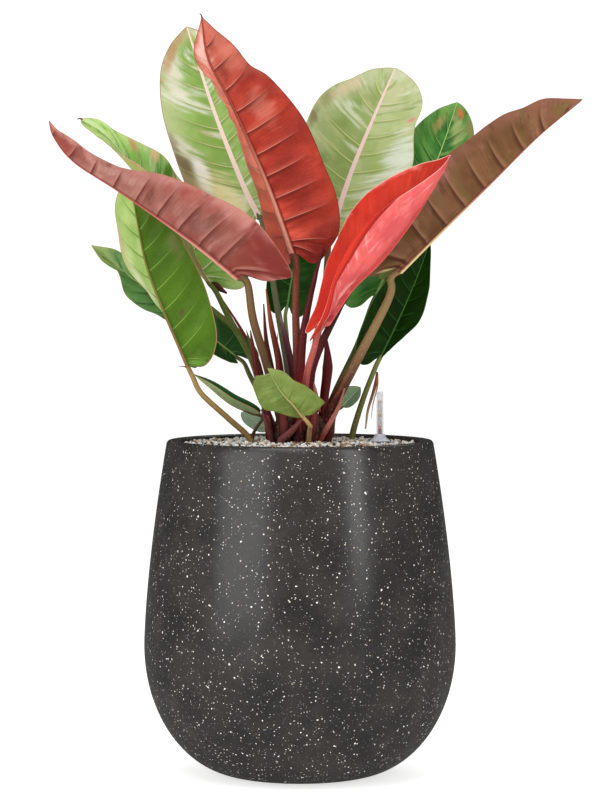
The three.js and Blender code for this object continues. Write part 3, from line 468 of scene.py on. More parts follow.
# %% Curves and frames
def through(points, share):
    """Places on a smooth curve through the points, with share from 0 to 1 by point."""
    points = np.asarray(points, float)
    before = 2 * points[0] - points[1]
    after = 2 * points[-1] - points[-2]
    padded = np.vstack([before, points, after])
    at = np.clip(np.asarray(share, float), 0, 1) * (len(points) - 1)
    low = np.minimum(at.astype(int), len(points) - 2)
    t = (at - low)[..., None]
    a, b, c, d = (padded[low + k] for k in range(4))
    out = (c - a) / 2
    into = (d - b) / 2
    return (2 * b - 2 * c + out + into) * t**3 + (-3 * b + 3 * c - 2 * out - into) * t**2 + out * t + b


def unit(vectors):
    return vectors / np.maximum(np.linalg.norm(vectors, axis=-1, keepdims=True), 1e-12)


def dot(a, b):
    return (a * b).sum(-1, keepdims=True)


def along(values, share):
    """A value that runs evenly through a list as share goes from 0 to 1."""
    if len(values) == 1:
        return np.full(np.shape(share), float(values[0]))
    return np.interp(np.clip(share, 0, 1), np.linspace(0, 1, len(values)), values)


class Midrib:
    """A leaf's midrib: at any distance along it the centre and the ways forward, right and up."""

    def __init__(self, leaf, samples=400):
        share = np.linspace(0, 1, samples)
        self.points = through(leaf["spine"], share)
        steps = np.linalg.norm(np.diff(self.points, axis=0), axis=1)
        self.distance = np.concatenate([[0], np.cumsum(steps)])
        self.length = self.distance[-1]
        self.forward = unit(np.gradient(self.points, axis=0))
        self.face = leaf["face"]

    def _at(self, values, distance):
        return np.stack([np.interp(distance, self.distance, values[:, k]) for k in range(3)], -1)

    def frame(self, distance):
        inside = np.clip(distance, 0, self.length)
        forward = unit(self._at(self.forward, inside))
        centre = self._at(self.points, inside) + forward * (distance - inside)[..., None]
        if len(self.face) > 1:
            look = through(self.face, inside / self.length)
        else:
            look = np.broadcast_to(np.array(self.face[0], float), forward.shape)
        up = unit(look - dot(look, forward) * forward)
        return centre, forward, np.cross(forward, up), up


print("midrib of the red leaf:", round(Midrib(LEAVES["red"]).length), "mm")

# %% [markdown]
# ## One blade
# A blade is two halves that meet in the midrib. The grid of each half isn't square: every row follows a side
# vein from the midrib out to the margin, in the same bend that the real veins take. That makes relief and
# colour simple, because a vein is then a straight line in the blade's own coordinates. The sheet sags between
# its veins, carries a rounded midrib underneath and a flatter one on top, and thins out to its margin.

# %% Blade grid
VEIN_BEND = (0.3, 0.55)
ROOT_STEP = 0.22
WAVE_LEAD = 0.08
BLADE_THICKNESS = 1.0
RIB_DEPTH = 5.2
RIB_RISE = 0.9
WIDEST_GAP = 60.0


def ease(x, low, high):
    t = np.clip((x - low) / (high - low), 0, 1)
    return t * t * (3 - 2 * t)


def vein_columns(count):
    """Shares of the way from midrib to margin, close together on the rib and at the margin."""
    near = np.array([0, 0.007, 0.015, 0.024, 0.034, 0.046, 0.06, 0.08])
    return np.concatenate([near, np.linspace(0.11, 0.95, count), [0.975, 0.99, 1.0]])


def margin_length(edge, leaf_length, width):
    steps = np.diff(edge * np.array([leaf_length, width]), axis=0)
    return np.concatenate([[0], np.cumsum(np.linalg.norm(steps, axis=1))])


def half_surface(leaf, rib, half, root, edge, columns):
    """Points, normals and blade coordinates of one half, as arrays of rows by columns."""
    width = leaf["half"][half]
    side = 1 if half == 0 else -1
    s = columns[None, :]
    bend_u = (root + VEIN_BEND[0] * (edge[:, 0] - root))[:, None]
    bend_v = (VEIN_BEND[1] * edge[:, 1])[:, None]
    u = (1 - s) ** 2 * root[:, None] + 2 * s * (1 - s) * bend_u + s**2 * edge[:, 0:1]
    v = 2 * s * (1 - s) * bend_v + s**2 * edge[:, 1:2]
    centre, forward, right, up = rib.frame(u * rib.length)
    fold = np.radians(along(leaf["fold"][half], u))
    turn = np.radians(along(leaf["curl"][half], u)) * v
    reach = width * v
    straight = np.abs(turn) < 1e-3
    safe = np.where(straight, 1.0, turn)
    out = np.where(straight, reach * np.cos(fold), reach * (np.sin(fold + safe) - np.sin(fold)) / safe)
    lift = np.where(straight, reach * np.sin(fold), reach * (np.cos(fold) - np.cos(fold + safe)) / safe)
    height, count, phase = leaf["wave"][half]
    fade = v**2 * np.sin(np.pi * np.clip(WAVE_LEAD + (1 - WAVE_LEAD) * u, 0, 1))
    wave = height * fade * np.sin(2 * np.pi * (count * u + phase))
    lean = fold + turn
    normal = -side * np.sin(lean)[..., None] * right + np.cos(lean)[..., None] * up
    point = centre + side * out[..., None] * right + lift[..., None] * up + wave[..., None] * normal
    blend = ease(reach, 0, 5)[..., None]
    normal = unit(up * (1 - blend) + normal * blend)
    return point, normal, u, reach


def vein_relief(x, gap, s, u, reach, look):
    """How far the sheet rises between its veins, and how far each vein stands out underneath."""
    near = ease(reach, 2, 14) * (1 - ease(s, 0.82, 1.0)) * (1 - ease(u, 0.86, 1.0))
    pillow = -look["pillow"] * np.cos(2 * np.pi * x) * near * np.clip(gap / 22, 0.2, 1.2)
    off = np.abs(x - np.round(x)) * gap
    ridge = look["ridge"] * np.exp(-((off / 1.7) ** 2)) * (1 - ease(s, 0.5, 0.98)) * ease(reach, 0, 4)
    return pillow, ridge


def vein_ends(leaf, look, rows):
    """Where each row leaves the midrib, and where it meets the margin of each half."""
    w = np.linspace(0, 1, 2000)
    curves = [through(OUTLINES[key], w) for key in leaf["outline"]]
    roots = []
    for curve, base in zip(curves, look["lead"]):
        lead = np.interp(curve[:, 0], (0, 0.2, 1), (0, base, look["lead"][2]))
        root = np.clip(np.maximum(curve[:, 0] - lead, ROOT_STEP * w), 0, 1)
        roots.append(np.maximum.accumulate(root) + 1e-6 * w)
    middle = (roots[0] + roots[1]) / 2
    root = np.interp(np.linspace(0, 1, rows), w, middle)
    places = [np.interp(root, own, w) for own in roots]
    return root, [through(OUTLINES[key], place) for key, place in zip(leaf["outline"], places)]


def split_quads(grid, flat):
    """Two triangles for each quad, along the diagonal that folds neither of them over."""
    a, b = grid[:-1, :-1].ravel(), grid[:-1, 1:].ravel()
    d, c = grid[1:, :-1].ravel(), grid[1:, 1:].ravel()

    def turn(i, j, k):
        first, second = flat[j] - flat[i], flat[k] - flat[i]
        return first[:, 0] * second[:, 1] - first[:, 1] * second[:, 0]

    straight = np.maximum(turn(a, b, c), turn(a, c, d)) <= np.maximum(turn(a, b, d), turn(b, c, d))
    first = np.where(straight, np.stack([a, b, c]), np.stack([a, b, d]))
    second = np.where(straight, np.stack([a, c, d]), np.stack([b, c, d]))
    return np.concatenate([first.T, second.T])


def blade_piece(name):
    """Both halves of a leaf as one closed sheet, with its blade coordinates as UV maps."""
    leaf = LEAVES[name]
    look = LOOKS[name]
    rib = Midrib(leaf)
    rows = look["rows"]
    root, edges = vein_ends(leaf, look, rows)
    columns = vein_columns(look["spread"])
    count = len(columns)
    tops, bottoms, flats, faces, loops = [], [], [], [], []
    for half in (0, 1):
        point, normal, u, reach = half_surface(leaf, rib, half, root, edges[half], columns)
        flats.append(np.stack([u, reach / leaf["half"][half]], -1).reshape(-1, 2))
        margin = margin_length(edges[half], rib.length, leaf["half"][half])
        fan = np.clip(margin / np.interp(0.05, root, margin), 0, 1)
        vein = root * rib.length / look["spacing"] + look["lobe"] * fan + look["phase"][half]
        x = np.broadcast_to(vein[:, None], reach.shape)
        row_step = np.linalg.norm(np.gradient(point, axis=0), axis=-1)
        gap = np.minimum(row_step / np.maximum(np.gradient(vein)[:, None], 1e-6), WIDEST_GAP)
        s = np.broadcast_to(columns[None, :], reach.shape)
        pillow, ridge = vein_relief(x, gap, s, u, reach, look)
        shrink = 1 - np.clip(u, 0, 1)
        half_rib = (look["rib"] * (0.2 + 0.8 * shrink**0.8)) / 2
        round_off = np.sqrt(np.clip(1 - (reach / half_rib) ** 2, 0, 1))
        under = RIB_DEPTH * shrink**0.9 * round_off * look["rib_depth"]
        over = RIB_RISE * shrink**0.5 * round_off
        thick = BLADE_THICKNESS * (1 - 0.55 * ease(s, 0.8, 1.0))
        tops.append(point + normal * (pillow + over)[..., None])
        bottoms.append(point + normal * (pillow - thick - ridge - under)[..., None])
        edge_distance = np.linalg.norm(point - point[:, -1:, :], axis=-1)
        side = 1 if half == 0 else -1
        loops.append((x, s, gap, edge_distance, u, side * reach))
    grid = np.arange(rows * count).reshape(rows, count)
    for layer in range(4):
        half, under = layer % 2, layer >= 2
        triangles = split_quads(grid, flats[half]) + layer * rows * count
        flip = (half == 1) != under
        faces.append(triangles[:, ::-1] if flip else triangles)
    for half in (0, 1):
        for line in (grid[:, -1], grid[0]):
            upper, lower = line + half * rows * count, line + (half + 2) * rows * count
            faces.append(np.stack([upper[:-1], upper[1:], lower[1:]], 1))
            faces.append(np.stack([upper[:-1], lower[1:], lower[:-1]], 1))
    points = np.concatenate([layer.reshape(-1, 3) for layer in tops + bottoms])
    coordinates = [np.concatenate([first.ravel(), second.ravel()] * 2) for first, second in zip(*loops)]
    blade_faces = 8 * (rows - 1) * (count - 1)
    return sheet_object(f"blade_{name}", points, np.concatenate(faces), coordinates, blade_faces)


def sheet_object(name, points, faces, coordinates, blade_faces):
    """Makes the mesh, writes the blade coordinates per corner, and welds the two halves and the margin."""
    mesh = bpy.data.meshes.new(name)
    mesh.from_pydata(points * MM, [], faces.tolist())
    corner = np.zeros(len(mesh.loops), np.int32)
    mesh.loops.foreach_get("vertex_index", corner)
    x, s, gap, edge_distance, u, reach = coordinates
    for label, first, second in (("vein", x, s), ("size", gap, edge_distance), ("place", u, reach)):
        layer = mesh.uv_layers.new(name=label)
        pairs = np.stack([first[corner], second[corner]], 1)
        layer.data.foreach_set("uv", pairs.astype(np.float32).ravel())
    under = np.zeros(len(mesh.polygons), np.int32)
    under[blade_faces // 2:blade_faces] = 1
    mesh.polygons.foreach_set("material_index", under)
    mesh.polygons.foreach_set("use_smooth", np.ones(len(mesh.polygons), bool))
    work = bmesh.new()
    work.from_mesh(mesh)
    bmesh.ops.remove_doubles(work, verts=work.verts, dist=2e-5)
    bmesh.ops.dissolve_degenerate(work, edges=work.edges, dist=1e-6)
    bmesh.ops.recalc_face_normals(work, faces=work.faces)
    work.to_mesh(mesh)
    work.free()
    return linked(name, mesh)


print("columns in half a blade:", len(vein_columns(20)))

# %% [markdown]
# ## How each blade looks
# The plant is grown for its colours: a blade opens orange-red, turns rose and bronze, and ends green. So each
# leaf gets its own values. The first set is form: how far apart the side veins leave the midrib, where they
# start on each half, how far they lean towards the tip, how many run into the lobes, how far the blade swells
# between them, how high a vein stands out underneath and how wide the midrib is.

# %% Relief of each blade
PLAIN_RELIEF = dict(lead=(0.12, 0.12, 0.12), lobe=2.0, pillow=0.9, ridge=0.6, rib=7.0, rib_depth=1.0,
                    rows=150, spread=20)


def relief(spacing, phase, **own):
    """The form of one blade, on top of that of a common one."""
    return {**PLAIN_RELIEF, "spacing": spacing, "phase": phase, **own}


TINY_RELIEF = relief(8, (0.2, 0.6), pillow=0.15, ridge=0.1, rib=1.8, rows=60, spread=8, rib_depth=0.4)
LOOKS = {
    "red": relief(27, (0.2, 0.6), lead=(0.02, 0.02, 0.06), pillow=1.7, ridge=1.0, rib=8.5, rows=170,
                  spread=24),
    "cream_left": relief(25, (0.1, 0.4), lead=(0.16, 0.2, 0.14), pillow=0.8, ridge=0.4, rib=8.0),
    "rose": relief(30, (0.3, 0.0), lead=(0.0, -0.06, 0.03), pillow=1.9, ridge=0.8, rib=8.0, rows=170,
                   spread=24),
    "lime": relief(22, (0.2, 0.7), lead=(0.14, 0.14, 0.16), pillow=1.1, ridge=0.4, rib=5.0),
    "drooping": relief(24, (0.4, 0.1), lead=(0.14, 0.14, 0.14), pillow=0.8, ridge=0.35, rib=6.0),
    "dark_left": relief(20, (0.2, 0.6), pillow=0.7, ridge=0.3, rib=4.0, rows=110, spread=12),
    "front": relief(15, (0.3, 0.7), lobe=1.6, pillow=0.35, ridge=0.15, rib=3.2, rows=90, spread=12),
    "folded": relief(14, (0.3, 0.3), pillow=0.15, ridge=0.1, rib=1.8, rows=80, spread=8, rib_depth=0.4),
    "tiny_back": TINY_RELIEF,
    "cream_right": relief(24, (0.0, 0.5), lead=(0.24, 0.16, 0.13), pillow=0.85, ridge=0.4, rib=8.0),
    "green_right": relief(22, (0.3, 0.8), lead=(0.16, 0.16, 0.12), pillow=1.2, ridge=0.4, rib=4.5),
    "bronze": relief(31, (0.5, 0.1), lead=(0.06, 0.04, 0.06), pillow=1.6, ridge=0.9, rib=9.0, rows=170,
                     spread=24),
    "new": relief(20, (0.1, 0.4), lead=(0.2, 0.2, 0.2), pillow=0.35, ridge=0.25, rib=6.0, rows=170,
                  spread=24),
    "dark_right": relief(20, (0.2, 0.6), pillow=0.6, ridge=0.3, rib=3.6, rows=110, spread=12),
    "tiny_right": TINY_RELIEF,
    "dark_back": relief(18, (0.2, 0.6), pillow=0.6, ridge=0.3, rib=3.6, rows=110, spread=12),
}
print("looks:", len(LOOKS))

# %% [markdown]
# ## Marks on a blade
# All blades share one node group. It reads the blade's own coordinates and gives back masks: the side veins
# with painted shade on one side and painted highlight on the other, the finer veins between them, the midrib
# and the margin. It also gives coordinates that run with the veins, so that patches of colour stretch along
# them as on the real leaf.

# %% Node group for the marks
def build_marks():
    group, t, given = open_group("blade marks", {"Vein Width": 1.2, "Rib Width": 7.0, "Fine Count": 7.0})
    x, s = t.map("vein")
    gap, rim = t.map("size")
    u, reach = t.map("place")
    side = t.math("SIGN", reach)
    aside = t.math("ABSOLUTE", reach)
    distance = t.times(t.math("SUBTRACT", x, t.math("ROUND", x)), gap)
    thin = t.times(given["Vein Width"], t.math("SUBTRACT", 1.0, t.times(s, 0.6)))
    wide = t.times(thin, 6.0)
    fade = t.times(t.ramp(s, 0.95, 0.25), t.ramp(gap, 2.0, 7.0))
    vein = t.times(t.ramp(t.math("ABSOLUTE", distance), t.times(thin, 0.9), t.times(thin, 0.25)), fade)
    # Painted shade on the side of each side vein towards the leaf's foot, painted highlight on the side
    # towards the tip.
    before = t.math("LESS_THAN", distance, 0.0)
    lee = t.times(t.ramp(distance, t.times(wide, -1.0), t.times(thin, -0.4)), before)
    behind = t.math("GREATER_THAN", distance, 0.0)
    sun = t.times(t.ramp(distance, wide, t.times(thin, 0.4)), behind)
    lanes = t.math("COSINE", t.times(t.times(x, given["Fine Count"]), 2 * math.pi))
    patchy = t.ramp(t.noise(t.place(), 55.0, 2.0), 0.4, 0.65)
    fine = t.times(t.ramp(lanes, 0.1, 1.0), t.ramp(aside, 3.0, 12.0))
    fine = t.times(fine, t.times(patchy, t.ramp(s, 1.0, 0.75)))
    shrink = t.math("POWER", t.math("SUBTRACT", 1.0, t.math("MINIMUM", u, 1.0)), 0.8)
    half_rib = t.times(given["Rib Width"], t.math("MULTIPLY_ADD", shrink, 0.4, 0.1))
    rib = t.ramp(aside, t.times(half_rib, 1.08), t.times(half_rib, 0.86))
    beside = t.math("ABSOLUTE", t.math("SUBTRACT", aside, t.times(half_rib, 1.15)))
    close_group(group, {
        "Vein": vein, "Vein Shade": t.times(lee, fade), "Sun": t.times(sun, fade), "Fine": fine,
        "Rib": t.times(rib, t.math("GREATER_THAN", u, -0.02)),
        "Rib Line": t.ramp(beside, t.times(half_rib, 0.35), 0.0),
        "Rib Round": t.math("DIVIDE", aside, half_rib), "Rim": rim, "Along": u, "Across": s, "Side": side,
        "Streak": t.combine(x, t.times(s, 2.0), side), "Place": t.combine(x, t.times(s, side), 0.0),
        "Height": t.math("ADD", t.times(vein, 0.9), t.times(fine, 0.12)),
    })
    return group


MARKS = build_marks()
print("blade marks:", len(MARKS.nodes), "nodes")

# %% [markdown]
# ## The skin of a blade
# A finish starts with two ground colours that drift into each other. Then come, in order: a tint towards the
# tip, streaks and patches along the veins, single smudges, the fine veins, painted shade and painted
# highlight on the two sides of each side vein, the vein itself, the midrib, which may carry painted shade on
# its flanks, and the margin. The same masks feed the roughness and the bump, so that a vein is also smoother
# and stands out in the light.

# %% Blade finish
def blade_finish(name, ground, second, rib, vein, margin, other=None, inner=None, outer=None, lee=None,
                 sun=None, tip=None, tip_range=(0.6, 1.0), foot=None, foot_range=(0.3, 0.0), rib_tip=None,
                 rib_shade=None, rib_line=None, patches=(), smudges=(), cover=None, calm=(1.0, 1.0),
                 fine=0.18, vein_width=1.3, vein_strength=0.85, rib_width=7.0, margin_width=1.2, bump=1.0,
                 rough=0.42, gloss=0.2, underneath=True):
    material, t, shader = new_material(name)
    marks = t.add("ShaderNodeGroup", node_tree=MARKS)
    marks.inputs["Vein Width"].default_value = vein_width
    marks.inputs["Rib Width"].default_value = rib_width
    out = marks.outputs
    place = t.place()
    soft = t.noise(place, 26.0, 3.0)
    colour = t.mix(t.ramp(soft, 0.35, 0.65), ground, second)
    second_half = t.ramp(out["Side"], 0.2, -0.2)
    if other:
        colour = t.mix(second_half, colour, t.mix(t.ramp(soft, 0.35, 0.65), other[0], other[1]))
    uneven = t.math("MULTIPLY_ADD", t.noise(place, 35.0, 3.0), 0.5, -0.25)
    if tip:
        colour = t.mix(t.ramp(t.math("ADD", out["Along"], uneven), *tip_range), colour, tip)
    if foot:
        colour = t.mix(t.ramp(t.math("ADD", out["Along"], uneven), *foot_range), colour, foot)
    for zone in (inner, outer):
        if zone:
            tint, start, end, strength = zone
            mask = t.ramp(t.math("ADD", out["Across"], uneven), start, end)
            colour = t.mix(t.times(mask, strength), colour, tint)
    for seed, (tint, across, lengthwise, low, high, strength) in enumerate(patches):
        stretched = t.vector("MULTIPLY", out["Streak"], (across, lengthwise, 7.0 + seed))
        shifted = t.vector("ADD", stretched, (seed * 3.7, seed * 1.9, 0.0))
        mask = t.ramp(t.noise(shifted, 1.0, 4.0, 0.6), low, high)
        colour = t.mix(t.times(mask, strength), colour, tint)
    strands = t.vector("MULTIPLY", out["Streak"], (3.4, 0.7, 5.0))
    ragged = t.math("MULTIPLY_ADD", t.noise(strands, 1.0, 3.0), 1.7, -0.85)
    split = t.add("ShaderNodeSeparateXYZ", {0: out["Place"]})
    for tint, x, s, dx, ds, strength in smudges:
        far_x = t.math("DIVIDE", t.math("SUBTRACT", split.outputs[0], x), dx)
        far_s = t.math("DIVIDE", t.math("SUBTRACT", split.outputs[1], s), ds)
        squares = t.math("ADD", t.times(far_x, far_x), t.times(far_s, far_s))
        mask = t.ramp(t.math("ADD", t.math("SQRT", squares), ragged), 1.0, 0.25)
        colour = t.mix(t.times(mask, strength), colour, tint)
    clear = t.math("MULTIPLY_ADD", second_half, calm[1] - calm[0], calm[0])
    # The fine veins are drawn in the vein-shade colour where one is given; each side vein gets painted shade
    # on one side and a painted highlight on the other.
    for mask, strength, tint in (("Fine", fine, lee or second), ("Vein Shade", 0.8, lee), ("Sun", 0.45, sun),
                                 ("Vein", vein_strength, vein)):
        if tint:
            colour = t.mix(t.times(t.times(out[mask], strength), clear), colour, tint)
    if rib_line:
        colour = t.mix(t.times(out["Rib Line"], 0.75), colour, rib_line)
    if rib_tip:
        rib = t.mix(t.ramp(out["Along"], 0.1, 0.6), rib, rib_tip)
    # rib_shade darkens the flanks of the midrib: painted shade that makes it look round.
    if rib_shade:
        rib = t.mix(t.ramp(out["Rib Round"], 0.4, 0.95), rib, rib_shade)
    colour = t.mix(out["Rib"], colour, rib)
    colour = t.mix(t.ramp(out["Rim"], margin_width, margin_width * 0.3), colour, margin)
    # On the rolled young leaf the cover paints the outer half's colour over part of the near half. It adds
    # painted glints on the roll along one side of its edge, and a painted shadow of the roll along the other
    # side.
    if cover:
        tint, dark, start, slope, glint_colour = cover
        edge = t.math("SUBTRACT", split.outputs[1], t.math("MULTIPLY_ADD", split.outputs[0], slope, start))
        folds = t.noise(t.vector("MULTIPLY", out["Streak"], (2.4, 0.8, 3.0)), 1.0)
        glint = t.times(t.ramp(edge, -0.3, -0.05), t.ramp(folds, 0.48, 0.68))
        fading = t.math("MULTIPLY_ADD", t.ramp(split.outputs[0], 8.0, 5.0), 0.45, 0.1)
        colour = t.mix(t.times(glint, fading), colour, glint_colour)
        # Painted shadow: the covered part darkens towards the cover's edge.
        shadowed_cover = t.mix(t.ramp(edge, 0.0, 0.16), dark, tint)
        colour = t.mix(t.ramp(edge, 0.0, 0.025), colour, shadowed_cover)
    grain = t.noise(place, 900.0, 2.0)
    colour = t.mix(t.times(t.ramp(grain, 0.45, 0.75), 0.12), colour, second)
    roughness = t.math("MULTIPLY_ADD", soft, 0.2, rough - 0.1)
    rise = t.math("MULTIPLY_ADD", out["Height"], 1.0 if underneath else -1.0, t.times(grain, 0.12))
    t.surface(shader, colour, roughness, rise, 0.5, 0.0006 * bump, gloss)
    return material


print("blade finish ready")

# %% [markdown]
# ## Colours of the leaves
# Each leaf has an upper and an under finish. Red blades are seen from underneath, pale ones from above. The
# patches are given as colour, how fine they are across and along the veins, where the noise starts and ends,
# and strength. A smudge is a colour with its place counted in veins and in shares of the half, and its size.

# %% Leaf finishes
NARROW = dict(rib_width=1.6, vein_width=0.5)


def skin(ground, second, rib, vein, margin, **more):
    """The values of one blade finish: its five main colours, then all that sets it apart."""
    return dict(ground=ground, second=second, rib=rib, vein=vein, margin=margin, **more)


